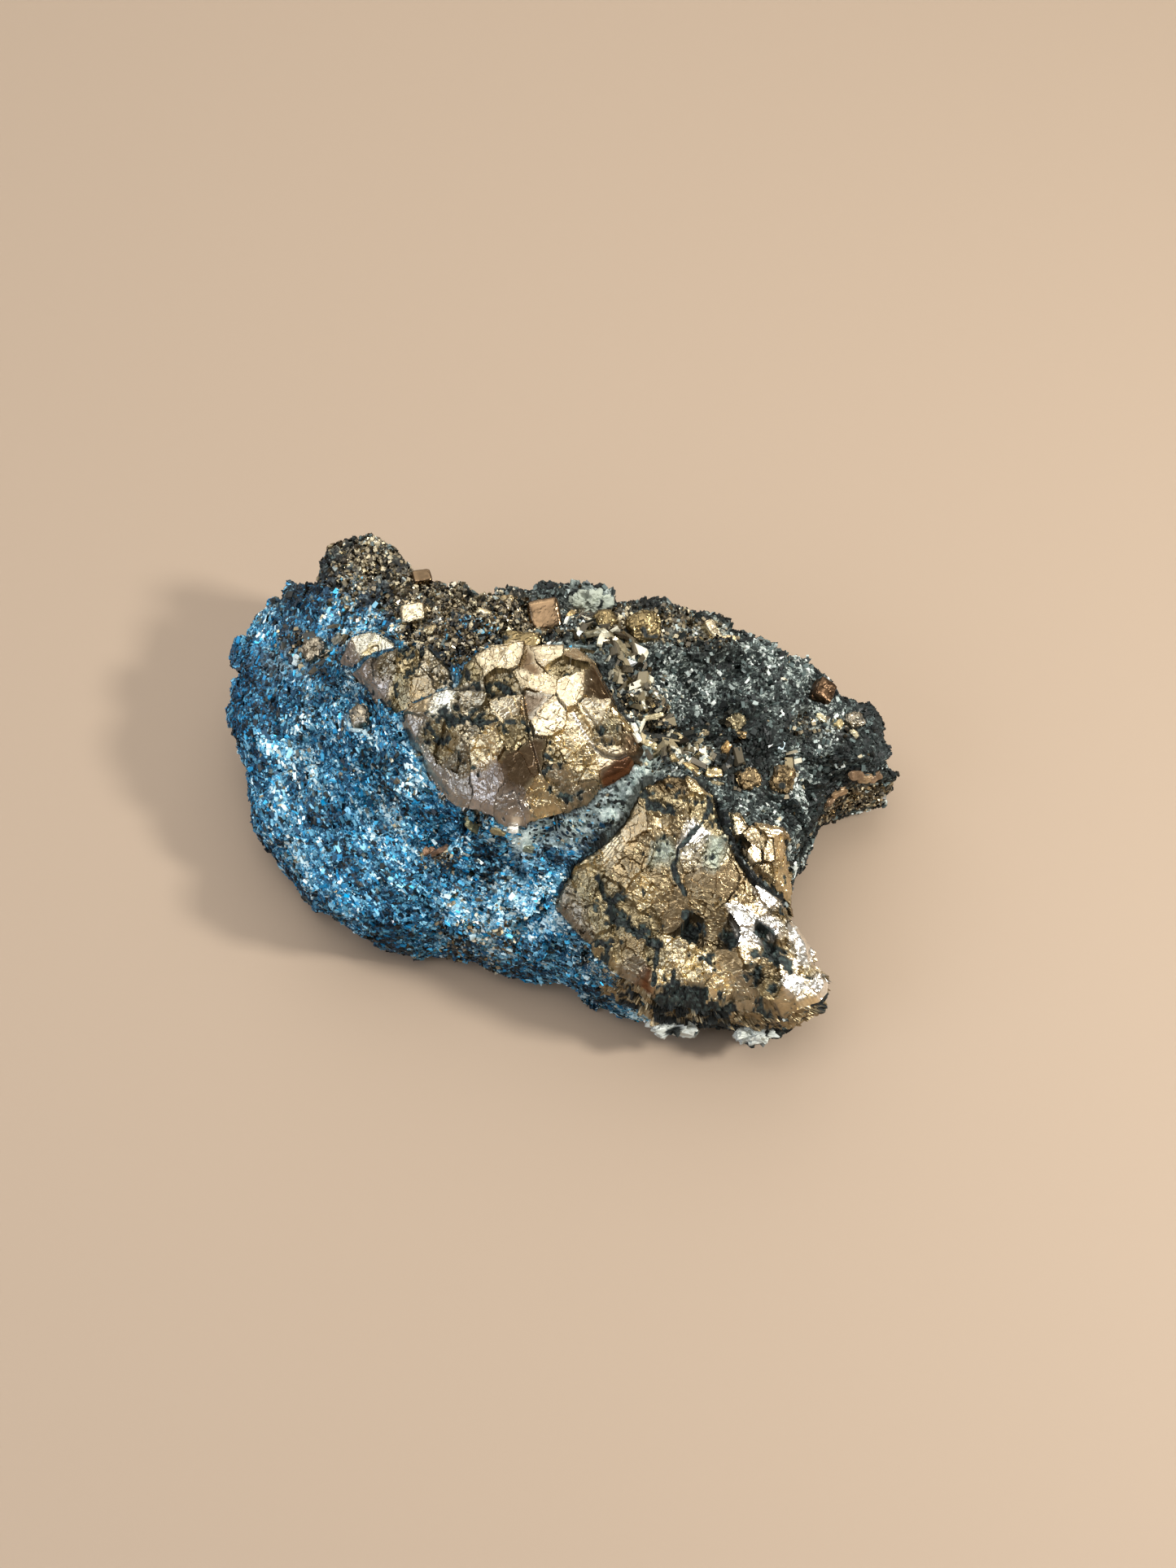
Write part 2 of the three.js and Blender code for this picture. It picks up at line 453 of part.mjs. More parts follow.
// One plate of a crystal: a column on its part of the plan, with a tilted top and a foot below the crystal's.
function plateSolid({ foot, faces, plates }, index, frame) {
  const [x, y, lift, addX, addY] = plates[index];
  const heights = faces.map(([fx, fy, fz, slopeX, slopeY]) => fz + slopeX * (x - fx) + slopeY * (y - fy));
  const lowest = heights.indexOf(Math.min(...heights));
  const middle = heights[lowest] + lift;
  const gx = faces[lowest][3] + addX;
  const gy = faces[lowest][4] + addY;
  const corners = plateOutline(plates, index, frame);
  const tops = corners.map(([px, py]) => rounded(Math.max(foot + 1, middle + gx * (px - x) + gy * (py - y))));
  return solidOf(unevenColumn(corners, tops, foot - 1 - index * FOOT_STEP));
}

// A tapering column on a convex plan, with a height of its own at each corner of the top.
function unevenColumn(plan, tops, foot) {
  const count = plan.length;
  const positions = [...grown(plan, TAPER).map((p) => [...p, foot]), ...plan.map((p, n) => [...p, tops[n]])];
  const faces = plan.flatMap((_, n) => {
    const m = (n + 1) % count;
    const side = [n, m, count + m, n, count + m, count + n];
    const ends = n === 0 || m === 0 ? [] : [0, m, n, count, count + n, count + m];
    return [...side, ...ends];
  });
  const geometry = new THREE.BufferGeometry();
  geometry.setAttribute('position', new THREE.Float32BufferAttribute(positions.flat(), 3));
  geometry.setIndex(faces);
  return geometry;
}

function crystalSolid(crystal) {
  const { foot, outline, plates } = crystal;
  const { min, max } = new THREE.Box2().setFromPoints(outline.map((p) => new THREE.Vector2(...p)));
  const frame = [[min.x, min.y], [max.x, min.y], [max.x, max.y], [min.x, max.y]];
  const columns = plates.map((_, n) => plateSolid(crystal, n, grown(frame, 1)));
  const body = columns.reduce((sum, plate) => sum.add(plate));
  return body.intersect(column(grown(outline, -GAP / 2), foot, CRYSTAL_TOP));
}

// A small crystal is a block that has lost its corners: each corner becomes three points.
function smallCrystal({ at, size, turn, sunk, z }, extra) {
  const half = size.map((edge) => edge / 2);
  const corners = [];
  for (let n = 0; n < 8; n += 1) {
    const sign = [n & 1 ? 1 : -1, n & 2 ? 1 : -1, n & 4 ? 1 : -1];
    for (let axis = 0; axis < 3; axis += 1) {
      const cut = CORNER_CUT * (0.4 + 1.2 * hash(n, axis, at[0], 3));
      const p = half.map((h, other) => sign[other] * (other === axis ? h * (1 - cut) : h));
      corners.push(new THREE.Vector3(...p.map((c, k) => c * (1 + extra / half[k]))));
    }
  }
  const middle = z ?? groundAt(...at) - sunk;
  const place = new THREE.Matrix4().makeRotationFromEuler(
    new THREE.Euler(...turn.map(THREE.MathUtils.degToRad)),
  ).setPosition(at[0], at[1], middle);
  return solidOf(new ConvexGeometry(corners).applyMatrix4(place));
}

// Height of the lump's smooth top over a point of the plan.
function groundAt(x, y) {
  const rim = rimAt(Math.atan2(y, x));
  const f = Math.min(1, Math.hypot(x, y) / rim.radius);
  return rim.z + (hillAt(x, y) - rim.z) * (1 - f * f) ** (SHOULDER / 2);
}

// ---------------------------------------------------------------- the specimen

const specimen = new THREE.Group();
specimen.position.set(-MIDDLE.x, -MIDDLE.y, 0);

function addPiece(name, solid) {
  const mesh = new THREE.Mesh(geometryOf(solid), materialOf(name));
  mesh.name = name;
  specimen.add(mesh);
}

let schist = solidOf(lumpGeometry());
const crystals = new Map();
for (const [name, crystal] of Object.entries(CRYSTALS)) {
  crystals.set(name, crystalSolid(crystal));
  schist = schist.subtract(column(grown(crystal.outline, GAP / 2), crystal.foot - GAP, CRYSTAL_TOP));
}
for (const small of Object.values(SMALL)) {
  const socket = smallCrystal(small, GAP);
  schist = schist.subtract(socket);
  crystals.forEach((solid, name) => crystals.set(name, solid.subtract(socket)));
}
addPiece('matrix_schist', largestBody(schist));
crystals.forEach((solid, name) => addPiece(name, largestBody(solid)));
Object.entries(SMALL).forEach(([name, small]) => addPiece(name, smallCrystal(small, 0)));

export default specimen;
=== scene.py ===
"""Looks of a hand specimen of pyrite crystals in mica schist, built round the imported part.

Lengths are in millimetres in the plan's own coordinates, as in the part's source, with +Z up and
the resting plane at z = 0. Meshes are moved to the frame's origin and to metres as they are made.
Every surface is a sheet of rings, a cube grid or a joined crowd of grains, and all of it is seeded.
"""

from __future__ import annotations

import logging
import math
from collections.abc import Sequence
from dataclasses import dataclass, field
from enum import Enum
from typing import Any

import bpy
import numpy as np
from mathutils import Euler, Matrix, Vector

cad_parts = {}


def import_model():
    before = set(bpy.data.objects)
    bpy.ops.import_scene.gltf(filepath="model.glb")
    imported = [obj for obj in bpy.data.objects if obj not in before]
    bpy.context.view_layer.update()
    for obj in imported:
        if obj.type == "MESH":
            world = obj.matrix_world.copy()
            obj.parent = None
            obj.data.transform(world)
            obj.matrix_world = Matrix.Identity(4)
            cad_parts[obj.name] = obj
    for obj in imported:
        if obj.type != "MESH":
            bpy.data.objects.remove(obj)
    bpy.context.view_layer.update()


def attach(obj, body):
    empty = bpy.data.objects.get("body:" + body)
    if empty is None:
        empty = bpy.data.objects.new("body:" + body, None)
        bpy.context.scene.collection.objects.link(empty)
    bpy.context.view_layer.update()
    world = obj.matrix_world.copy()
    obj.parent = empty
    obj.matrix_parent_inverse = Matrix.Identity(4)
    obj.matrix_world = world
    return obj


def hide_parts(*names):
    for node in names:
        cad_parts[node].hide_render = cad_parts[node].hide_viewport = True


log = logging.getLogger("specimen")
Array = np.ndarray
Points = Sequence[Sequence[float]]
Values = dict[str, Array]  # by the name of a mesh attribute
Noise = tuple[float, float, float]  # amount, size in mm, and seed
Colour = tuple[int, int, int]  # 0 to 255 per channel
Stops = Sequence[tuple[float, Colour]]  # places from 0 to 1, and the colour at each
Palette = Sequence[tuple[Colour, float]]  # colours, and the share of each
Socket = bpy.types.NodeSocket
Input = Any  # a socket to link, or a value to set

MM = 0.001
MIDDLE = np.array([-0.1, -0.6, 0.0])  # middle of the plan, which is the frame's origin

# ---- the lump's own sizes, mm

# The widest line round the lump: x, y and the height of that line.
RIM = (
    (-30.2, 27.6, 16), (-29, 30.4, 18), (-25, 31.1, 19), (-20.5, 29, 19), (-18.2, 26.2, 19),
    (-13.6, 23.9, 20), (-8.3, 21.4, 21), (-2.9, 22.1, 21), (2.8, 22.3, 20.4), (8, 19.2, 19.4), (13.2, 20, 19),
    (18.3, 20, 18), (21.4, 18, 16), (26.6, 17.3, 15), (32, 15.1, 14), (35, 11.8, 13), (39.5, 10, 12.5),
    (40.8, 6.4, 11), (41.9, 2.9, 9.6), (41.2, 1.6, 8), (36.8, 0.9, 7.4), (32.8, -1.9, 7.4), (30.6, -7.2, 9),
    (28.4, -12.5, 10), (27.2, -17, 9), (28, -21.5, 7), (30, -25.5, 6), (29.3, -28, 6), (26.5, -29.6, 6),
    (21, -28.5, 6), (14.9, -28.7, 6), (10.8, -27.8, 7), (6, -26.4, 6), (1.5, -23.6, 6), (-4.2, -22.1, 6),
    (-10.4, -20.2, 6), (-13.2, -19, 6), (-16, -18.7, 6), (-19.2, -19, 6), (-23.8, -17.4, 6),
    (-29.4, -13.1, 6), (-34.6, -7.4, 7), (-38.3, -2.5, 8), (-39, 4.4, 9), (-40.7, 9, 10), (-41.2, 14.6, 11),
    (-40.7, 20.8, 12.5), (-38.5, 25.2, 13.5), (-32.1, 26.4, 14),
)
# Heights of the top, from the crest where the upper crystal stands to the foot of the flanks.
HILLS = (
    (-3, 3, 33), (4, 0, 34), (-8, 8, 30.5), (3, 9, 31), (10, -5, 29), (-12, 3, 29), (-18, 6, 26),
    (-24, 9, 22.5), (-14, -4, 26), (-6, -9, 26.5), (2, -10, 26), (10, -10, 27), (16, -12, 26.5),
    (14, -18, 23), (8, -18, 22), (3, -19, 19.5), (8, -24, 16), (15, -26, 16), (22, -18, 22), (27, -22, 16),
    (22, -10, 25), (20, 0, 25), (16, 6, 25), (26, 2, 21), (33, 3, 16), (26, 8, 20), (20, 12, 21),
    (12, 14, 25), (6, 16, 26), (0, 15, 27), (-8, 15, 26.5), (-16, 15, 24.5), (-22, 17, 21), (-24, 26, 23),
    (-20, 24, 22), (-27, 21, 16.5), (-28, 14, 20), (-34, 12, 17), (-38, 16, 15), (-30, 4, 19), (-34, 2, 15),
    (-27, -3, 18), (-30, -8, 13), (-22, -10, 16), (-16, -12, 19), (-10, -15, 18.5), (-6, -19, 13),
    (-15, -17, 12), (0, -15, 19), (12, -29, 13.5), (20, -29, 13.5), (27, -29, 12.5), (31, -27, 13),
)
HILL_REACH = 4.5  # how far each height above is felt
SHOULDER = 0.35  # below 1 the flanks are steep and the shoulders full
SINK = 0.8  # how far the underside would pass below the resting plane before it is worn flat
SPINE = np.array([0.55, 0.5, 10.0])  # share of x and y, and height, that the relief points away from
FOLD = np.array([5.0, 8.0])  # place of the plan that the foliation runs round
FOLD_RADIUS = 35  # mm from there to the middle of the left flank
STREAK_LENGTH = 4  # length of the streaks there, with their width as 1
RIM_RELIEF = 0.3  # share of the relief that is left at the rim
CORNERS_PER_SPAN = 8  # points of the rim line between two of its corners


# ---- noise

HASH_WAVES = (127.1, 311.7, 74.7, 19.3)  # unlike frequencies for i, j, k and the seed
HASH_REACH = 43758.5453  # large, so that next cells have unlike values


def hashed(i: Array, j: Array, k: Array, seed: float) -> Array:
    """Random value of each cell: the fraction of a very large sine.

    Args:
        i, j, k: the cells' numbers along each axis
        seed: which values

    Returns:
        Values from 0 to 1.
    """
    wave_i, wave_j, wave_k, wave_seed = HASH_WAVES
    wave = np.sin(i * wave_i + j * wave_j + k * wave_k + seed * wave_seed) * HASH_REACH
    return wave - np.floor(wave)


def speckle(points: Array, size: float, seed: float) -> Array:
    """Random value from 0 to 1 of the cube of one size, in mm, that each point lies in."""
    return hashed(*np.floor(points / size).T, seed)


def swell(points: Array, size: float, seed: float) -> Array:
    """Smooth noise between -1 and 1 that changes over about one size.

    Args:
        points: places, (n, 3), mm
        size: spacing of its cells, mm
        seed: which noise

    Returns:
        One value for each point.
    """
    q = points / size
    cell = np.floor(q)
    ease = (q - cell) ** 2 * (3 - 2 * (q - cell))
    total = np.zeros(len(points))
    for n in range(8):
        corner = np.array([n & 1, (n >> 1) & 1, (n >> 2) & 1])
        share = np.prod(np.where(corner == 1, ease, 1 - ease), axis=1)
        total += share * hashed(*(cell + corner).T, seed)
    return 2 * total - 1


def swells(start: float | Array, points: Array, *noises: Noise) -> Array:
    """A value plus some smooth noises.

    Args:
        start: the value where every noise is zero
        points: places, (n, 3), mm
        noises: amount, size and seed of each

    Returns:
        One value for each point.
    """
    for amount, size, seed in noises:
        start = start + amount * swell(points, size, seed)
    return start


def chip(points: Array, size: float, slope: float, seed: float) -> Array:
    """Broken faces: space is parted among random centres, and each part is one tilted plane.

    Args:
        points: places, (n, 3), mm
        size: spacing of the centres, mm
        slope: steepness of the planes
        seed: which noise

    Returns:
        Height of the broken face at each point, mm.
    """
    q = points / size
    cell = np.floor(q)
    nearest = np.full(len(points), np.inf)
    best_key = cell.copy()
    best_away = np.zeros_like(q)
    for n in range(27):
        key = cell + [n % 3 - 1, n // 3 % 3 - 1, n // 9 - 1]
        away = q - key - np.stack([hashed(*key.T, seed + axis) for axis in range(3)], axis=1)
        d = np.sum(away**2, axis=1)
        closer = d < nearest
        nearest = np.where(closer, d, nearest)
        best_key[closer] = key[closer]
        best_away[closer] = away[closer]
    tilt = np.stack([2 * hashed(*best_key.T, seed + 3 + axis) - 1 for axis in range(3)], axis=1)
    return size * slope * 2 * np.sum(best_away * tilt, axis=1)


def smooth(low: float, high: float, value: Array) -> Array:
    """0 at low, 1 at high, held past both, and an easy curve between them; low may be the higher."""
    t = np.clip((value - low) / (high - low), 0, 1)
    return t * t * (3 - 2 * t)


def linear(colour: Sequence[float]) -> Array:
    """A colour of 0 to 255 per channel, as displays show it, in linear light by the sRGB curve."""
    c = np.asarray(colour, float) / 255
    return np.where(c <= 0.04045, c / 12.92, ((c + 0.055) / 1.055) ** 2.4)


def toward(tint: Array, other: Array, share: Array) -> Array:
    """Tints moved towards another tint by each point's share."""
    return tint + (other - tint) * share[:, None]


def patches(cover: Array, share: Array | float, edge: float) -> Array:
    """Patches, 0 outside and 1 inside over an edge: where a noise from 0 to 1 is over 1 - share."""
    return smooth(-edge, edge, cover - (1.0 - share))


# ---- plan geometry


def line_distance(xy: Array, points: Points, closed: bool = False) -> Array:
    """Distance on the plan from each place to a line through some points.

    Args:
        xy: places, (n, 2), mm
        points: corners of the line; a single one is a spot
        closed: whether the last corner joins the first

    Returns:
        Distances, mm.
    """
    corners = np.asarray(points, float)
    ends = np.roll(corners, -1, axis=0) if closed else corners[1:]
    starts = corners if closed or len(corners) == 1 else corners[:-1]
    ends = ends if len(ends) else corners
    nearest = np.full(len(xy), np.inf)
    for a, b in zip(starts, ends):
        along = b - a
        t = np.clip((xy - a) @ along / max(along @ along, 1e-9), 0, 1)
        nearest = np.minimum(nearest, np.hypot(*(xy - a - t[:, None] * along).T))
    return nearest


@dataclass(frozen=True)
class Mark:
    """A spot or a line on the plan whose effect fades with distance.

    Args:
        points: corners of the line, or one spot, mm
        reach: distance over which it fades, mm
        amount: its value along the line
        above: height under which it fades out, mm
        below: height over which it fades out, mm
    """

    points: Points
    reach: float
    amount: float = 1.0
    above: float = -9.0
    below: float = 99.0

    FADE = 1.5

    def value(self, places: Array) -> Array:
        """Value of the mark: amount * exp(-(distance / reach)^2), faded by height in space.

        Args:
            places: of the plan, (n, 2), or of space, (n, 3), mm

        Returns:
            One value for each place.
        """
        value = self.amount * np.exp(-((line_distance(places[:, :2], self.points) / self.reach) ** 2))
        if places.shape[1] == 2:
            return value
        low = smooth(self.above - self.FADE, self.above + self.FADE, places[:, 2])
        return value * low * (1 - smooth(self.below - self.FADE, self.below + self.FADE, places[:, 2]))


def strongest(marks: Sequence[Mark], places: Array) -> Array:
    """The strongest of some marks at each place, of the plan or of space."""
    return np.max([np.zeros(len(places)), *(mark.value(places) for mark in marks)], axis=0)


def outline_distance(xy: Array, outline: Points) -> Array:
    """Distance on the plan to an outline, below zero inside it.

    Args:
        xy: places, (n, 2), mm
        outline: its corners in order

    Returns:
        Distances, mm. A place is inside if a line from it along x crosses an odd number of sides.
    """
    corners = np.asarray(outline, float)
    inside = np.zeros(len(xy), bool)
    x, y = xy.T
    for (xa, ya), (xb, yb) in zip(corners, np.roll(corners, -1, axis=0)):
        if ya == yb:
            continue
        crosses = (ya > y) != (yb > y)
        inside ^= crosses & (x < xa + (y - ya) * (xb - xa) / (yb - ya))
    distance = line_distance(xy, outline, closed=True)
    return np.where(inside, -distance, distance)


def outline_radius(outline: Points, centre: Sequence[float], angle: Array) -> Array:
    """Distance from a centre to an outline in each direction, where a ray meets the side ahead.

    Args:
        outline: corners that the centre sees, in any order
        centre: place on the plan, mm
        angle: directions, radians from +X towards +Y

    Returns:
        Distances, mm.
    """
    corners = np.asarray(outline, float) - np.asarray(centre, float)
    turns = np.arctan2(corners[:, 1], corners[:, 0])
    order = np.argsort(turns)
    corners, turns = corners[order], turns[order]
    wrapped = (angle + math.pi) % math.tau - math.pi
    after = np.searchsorted(turns, wrapped) % len(turns)
    a, b = corners[after - 1], corners[after]
    direction = np.stack([np.cos(angle), np.sin(angle)], axis=1)
    side = b - a
    cross = a[:, 0] * side[:, 1] - a[:, 1] * side[:, 0]
    return cross / (direction[:, 0] * side[:, 1] - direction[:, 1] * side[:, 0])


# ---- meshes


@dataclass
class Surface:
    """A closed mesh before it becomes an object.

    Args:
        points: places of its points, (n, 3), mm
        faces: triangles facing outward, (m, 3)
        values: attribute name to one number, or one linear colour, for each point
    """

    points: Array
    faces: Array
    values: Values = field(default_factory=dict)

    def normals(self) -> tuple[Array, Array]:
        """Unit normal and area of each triangle."""
        a, b, c = (self.points[self.faces[:, n]] for n in range(3))
        cross = np.cross(b - a, c - a)
        length = np.linalg.norm(cross, axis=1)
        return cross / np.maximum(length, 1e-12)[:, None], length / 2

    def point_normals(self) -> Array:
        """Unit normal of each point, the mean of its triangles' by area."""
        normal, area = self.normals()
        total = np.zeros_like(self.points)
        for n in range(3):
            np.add.at(total, self.faces[:, n], normal * area[:, None])
        return total / np.maximum(np.linalg.norm(total, axis=1), 1e-12)[:, None]

    def make(self, name: str, material: bpy.types.Material, rounded: bool = False) -> bpy.types.Object:
        """Builds the object in the frame's place and in metres.

        Args:
            name: name of the object and its mesh
            material: what it is made of
            rounded: whether shading blurs its edges

        Returns:
            The new object, linked to the scene.
        """
        mesh = bpy.data.meshes.new(name)
        count = len(self.faces)
        mesh.vertices.add(len(self.points))
        mesh.vertices.foreach_set("co", ((self.points - MIDDLE) * MM).astype(np.float32).ravel())
        mesh.loops.add(3 * count)
        mesh.loops.foreach_set("vertex_index", self.faces.astype(np.int32).ravel())
        mesh.polygons.add(count)
        mesh.polygons.foreach_set("loop_start", np.arange(0, 3 * count, 3, dtype=np.int32))
        mesh.polygons.foreach_set("use_smooth", np.full(count, rounded))
        mesh.update(calc_edges=True)
        for key, value in self.values.items():
            if value.ndim == 1:
                mesh.attributes.new(key, "FLOAT", "POINT").data.foreach_set("value", value.astype(np.float32))
                continue
            colour = np.ones((len(value), 4), np.float32)
            colour[:, : value.shape[1]] = value
            mesh.attributes.new(key, "FLOAT_COLOR", "POINT").data.foreach_set("color", colour.ravel())
        mesh.materials.append(material)
        made = bpy.data.objects.new(name, mesh)
        bpy.context.scene.collection.objects.link(made)
        log.info("%s: %d triangles", name, count)
        return made


def ring_sheet(rings: int) -> tuple[Array, Array, Array]:
    """Rings of points round a middle point: ring r has 8 r of them.

    Args:
        rings: number of rings

    Returns:
        Each point's ring, its angle in radians, and the triangles, which face up.
    """
    numbers = np.concatenate([[0], *(np.full(8 * r, r) for r in range(1, rings + 1))])
    angles = np.concatenate([[0.0], *(np.arange(8 * r) * math.tau / (8 * r) for r in range(1, rings + 1))])
    starts = [0, *(1 + 4 * r * (r - 1) for r in range(1, rings + 1))]
    faces = []
    for r in range(1, rings + 1):
        side, n = np.divmod(np.arange(8 * r), r)
        inside = max(1, 8 * (r - 1))
        outer = starts[r] + side * r + n
        outer_next = starts[r] + (side * r + n + 1) % (8 * r)
        inner = starts[r - 1] + (side * (r - 1) + n) % inside
        inner_next = starts[r - 1] + (side * (r - 1) + n + 1) % inside
        faces.append(np.stack([inner, outer, outer_next], axis=1))
        faces.append(np.stack([inner, outer_next, inner_next], axis=1)[n < r - 1])
    return numbers, angles, np.concatenate(faces)


def band(upper: Array, lower: Array) -> Array:
    """Triangles between two closed rows of as many points, facing away from their middle.

    Args:
        upper: numbers of the upper row's points, anticlockwise seen from above
        lower: numbers of the lower row's points, in step with them

    Returns:
        The triangles, two to each point.
    """
    upper_next, lower_next = np.roll(upper, -1), np.roll(lower, -1)
    return np.concatenate([
        np.stack([upper, lower, lower_next], axis=1),
        np.stack([upper, lower_next, upper_next], axis=1),
    ])


# ---- kinds of pyrite face


@dataclass(frozen=True)
class Look:
    """How one kind of pyrite face looks.

    Args:
        tint: colour of its reflection, 0 to 255 per channel
        spread: how far plates of this kind differ in brightness
        rough: roughness
        hackle: strength of its small broken facets
        chlorite: share covered by chlorite
        stria: depth of its parallel ridges, mm
        sink: how far it lies below its plane, mm
    """

    tint: Colour
    spread: float
    rough: float
    hackle: float
    chlorite: float
    stria: float = 0.0
    sink: float = 0.0


class Kind(Enum):
    """The kinds of face that the crystals' plates have."""

    BEVEL = Look((176, 169, 158), 0.1, 0.3, 0.5, 0.12, stria=0.012)
    MAUVE = Look((178, 169, 160), 0.14, 0.34, 0.8, 0.16)
    SCALY = Look((150, 141, 124), 0.2, 0.34, 1.3, 0.2)
    TAN = Look((178, 160, 128), 0.12, 0.32, 0.5, 0.1)
    # painted reflection, in part: BRIGHT's pale cream stands for the bright light that its plates reflect
    BRIGHT = Look((218, 202, 170), 0.08, 0.25, 0.5, 0.04)
    # painted reflection, in part: MIRROR's dark brown stands for the dim surroundings that its smooth plates
    # reflect
    MIRROR = Look((118, 98, 75), 0.1, 0.18, 0.1, 0.02)
    ROUGH = Look((204, 186, 148), 0.14, 0.3, 1.2, 0.15)
    OLIVE = Look((140, 129, 101), 0.14, 0.36, 1.2, 0.28)
    CHLORITE = Look((160, 146, 114), 0.14, 0.4, 1.4, 0.42, sink=0.1)
    STRIATED = Look((220, 202, 166), 0.1, 0.28, 0.4, 0.07, stria=0.05)
    BRONZE = Look((156, 139, 108), 0.16, 0.3, 1.0, 0.14, stria=0.01)
    SATIN = Look((158, 138, 106), 0.08, 0.24, 0.3, 0.05)
    SILVER = Look((226, 223, 206), 0.1, 0.28, 0.6, 0.08, stria=0.03)
    GLITTER = Look((222, 206, 170), 0.2, 0.28, 1.9, 0.3)
    PALE = Look((170, 176, 160), 0.1, 0.5, 0.9, 0.25)
    GLARE = Look((255, 254, 248), 0.04, 0.12, 0.4, 0.08)
    PIT = Look((96, 86, 70), 0.2, 0.5, 1.6, 0.6, sink=0.6)
    GRANULAR = Look((154, 138, 108), 0.26, 0.34, 2.0, 0.36)
    SPARKLE = Look((176, 166, 140), 0.3, 0.28, 2.6, 0.84)
    RED = Look((126, 90, 66), 0.05, 0.22, 0.2, 0.02)
    DULL = Look((166, 156, 134), 0.2, 0.34, 1.6, 0.26)
    AMBER = Look((128, 112, 80), 0.14, 0.34, 1.1, 0.24, stria=0.03)
    BROWN = Look((120, 103, 76), 0.15, 0.4, 1.4, 0.34)
    CRUST = Look((160, 166, 152), 0.1, 0.6, 1.3, 0.3)
    RUSTY = Look((92, 72, 54), 0.1, 0.36, 0.6, 0.2)
    QUARTZ = Look((196, 200, 192), 0.1, 0.5, 1.3, 0.34)


Plate = tuple[float, float, float, float, float, Kind]


# ---- finishes


class Tree:
    """A material's or a world's nodes, with short ways to add to them.

    Args:
        owner: the material or world
    """

    def __init__(self, owner: bpy.types.Material | bpy.types.World) -> None:
        owner.use_nodes = True
        self.nodes = owner.node_tree.nodes
        self.links = owner.node_tree.links

    def add(self, kind: str, inputs: dict[str | int, Input] | None = None, **settings: Any) -> bpy.types.Node:
        """Adds a node.

        Args:
            kind: the node's type
            inputs: its inputs, by name or number
            settings: its other settings

        Returns:
            The node.
        """
        node = self.nodes.new(kind)
        for key, value in settings.items():
            setattr(node, key, value)
        for key, value in (inputs or {}).items():
            self.put(node.inputs[key], value)
        return node

    def put(self, socket: Socket, value: Input) -> None:
        """Links an output to a socket, or sets the socket's value.

        Args:
            socket: the input
            value: what it gets
        """
        if isinstance(value, Socket):
            self.links.new(value, socket)
        else:
            socket.default_value = value

    def ramp(self, value: Input, stops: Stops) -> Socket:
        """A colour looked up along some stops.

        Args:
            value: place along them, 0 to 1
            stops: place and colour of each

        Returns:
            The colour.
        """
        node = self.add("ShaderNodeValToRGB", {"Fac": value})
        elements = node.color_ramp.elements
        while len(elements) < len(stops):
            elements.new(0.5)
        for element, (at, colour) in zip(elements, stops):
            element.position = at
            element.color = (*linear(colour), 1)
        return node.outputs["Color"]


class Shader(Tree):
    """The nodes of one new Principled material.

    Args:
        name: name of the material
    """

    def __init__(self, name: str) -> None:
        self.material = bpy.data.materials.new(name)
        super().__init__(self.material)
        self.principled = self.nodes["Principled BSDF"]

    def attribute(self, name: str, output: str = "Fac") -> Socket:
        """Output of one of the mesh's own attributes."""
        return self.add("ShaderNodeAttribute", attribute_name=name).outputs[output]

    def math(self, operation: str, a: Input, b: Input, clamp: bool = False) -> Socket:
        """Output of one sum on two values."""
        return self.add("ShaderNodeMath", {0: a, 1: b}, operation=operation, use_clamp=clamp).outputs[0]

    def place(self) -> Socket:
        """The shaded point's place in its object, which is the frame's, in metres."""
        return self.add("ShaderNodeTexCoord").outputs["Object"]

    def noise(self, size: float, detail: float, roughness: float = 0.5) -> Socket:
        """Smooth noise from 0 to 1 with features of about one size, mm."""
        inputs = {"Vector": self.place(), "Scale": 1 / (size * MM), "Detail": detail, "Roughness": roughness}
        return self.add("ShaderNodeTexNoise", inputs).outputs["Fac"]

    def grains(self, size: float) -> Socket:
        """One random colour for each grain of a size, mm."""
        inputs = {"Vector": self.place(), "Scale": 1 / (size * MM)}
        return self.add("ShaderNodeTexVoronoi", inputs, feature="F1").outputs["Color"]

    def between(self, value: Input, low: float, high: float, to_low: float, to_high: float) -> Socket:
        """A value stretched from one range to another and kept in it."""
        inputs = {"Value": value, "From Min": low, "From Max": high, "To Min": to_low, "To Max": to_high}
        return self.add("ShaderNodeMapRange", inputs, clamp=True).outputs["Result"]

    def mix(self, share: Input, a: Input, b: Input, blend: str = "MIX") -> Socket:
        """Two colours mixed.

        Args:
            share: how much of the second counts
            a: the first colour
            b: the second colour
            blend: how they mix

        Returns:
            The mixed colour.
        """
        node = self.add("ShaderNodeMix", data_type="RGBA", blend_type=blend)
        for socket, value in zip((node.inputs[0], node.inputs[6], node.inputs[7]), (share, a, b)):
            self.put(socket, value)
        return node.outputs[2]

    def bump(self, height: Input, depth: float, strength: Input) -> None:
        """Relief of a depth in mm, from a height of 0 to 1."""
        inputs = {"Height": height, "Distance": depth * MM, "Strength": strength}
        self.put(self.principled.inputs["Normal"], self.add("ShaderNodeBump", inputs).outputs["Normal"])

    def finish(self, **sockets: Input) -> bpy.types.Material:
        """Sets the surface's sockets, with spaces written as underscores, and gives the material."""
        for key, value in sockets.items():
            self.put(self.principled.inputs[key.replace("_", " ")], value)
        return self.material


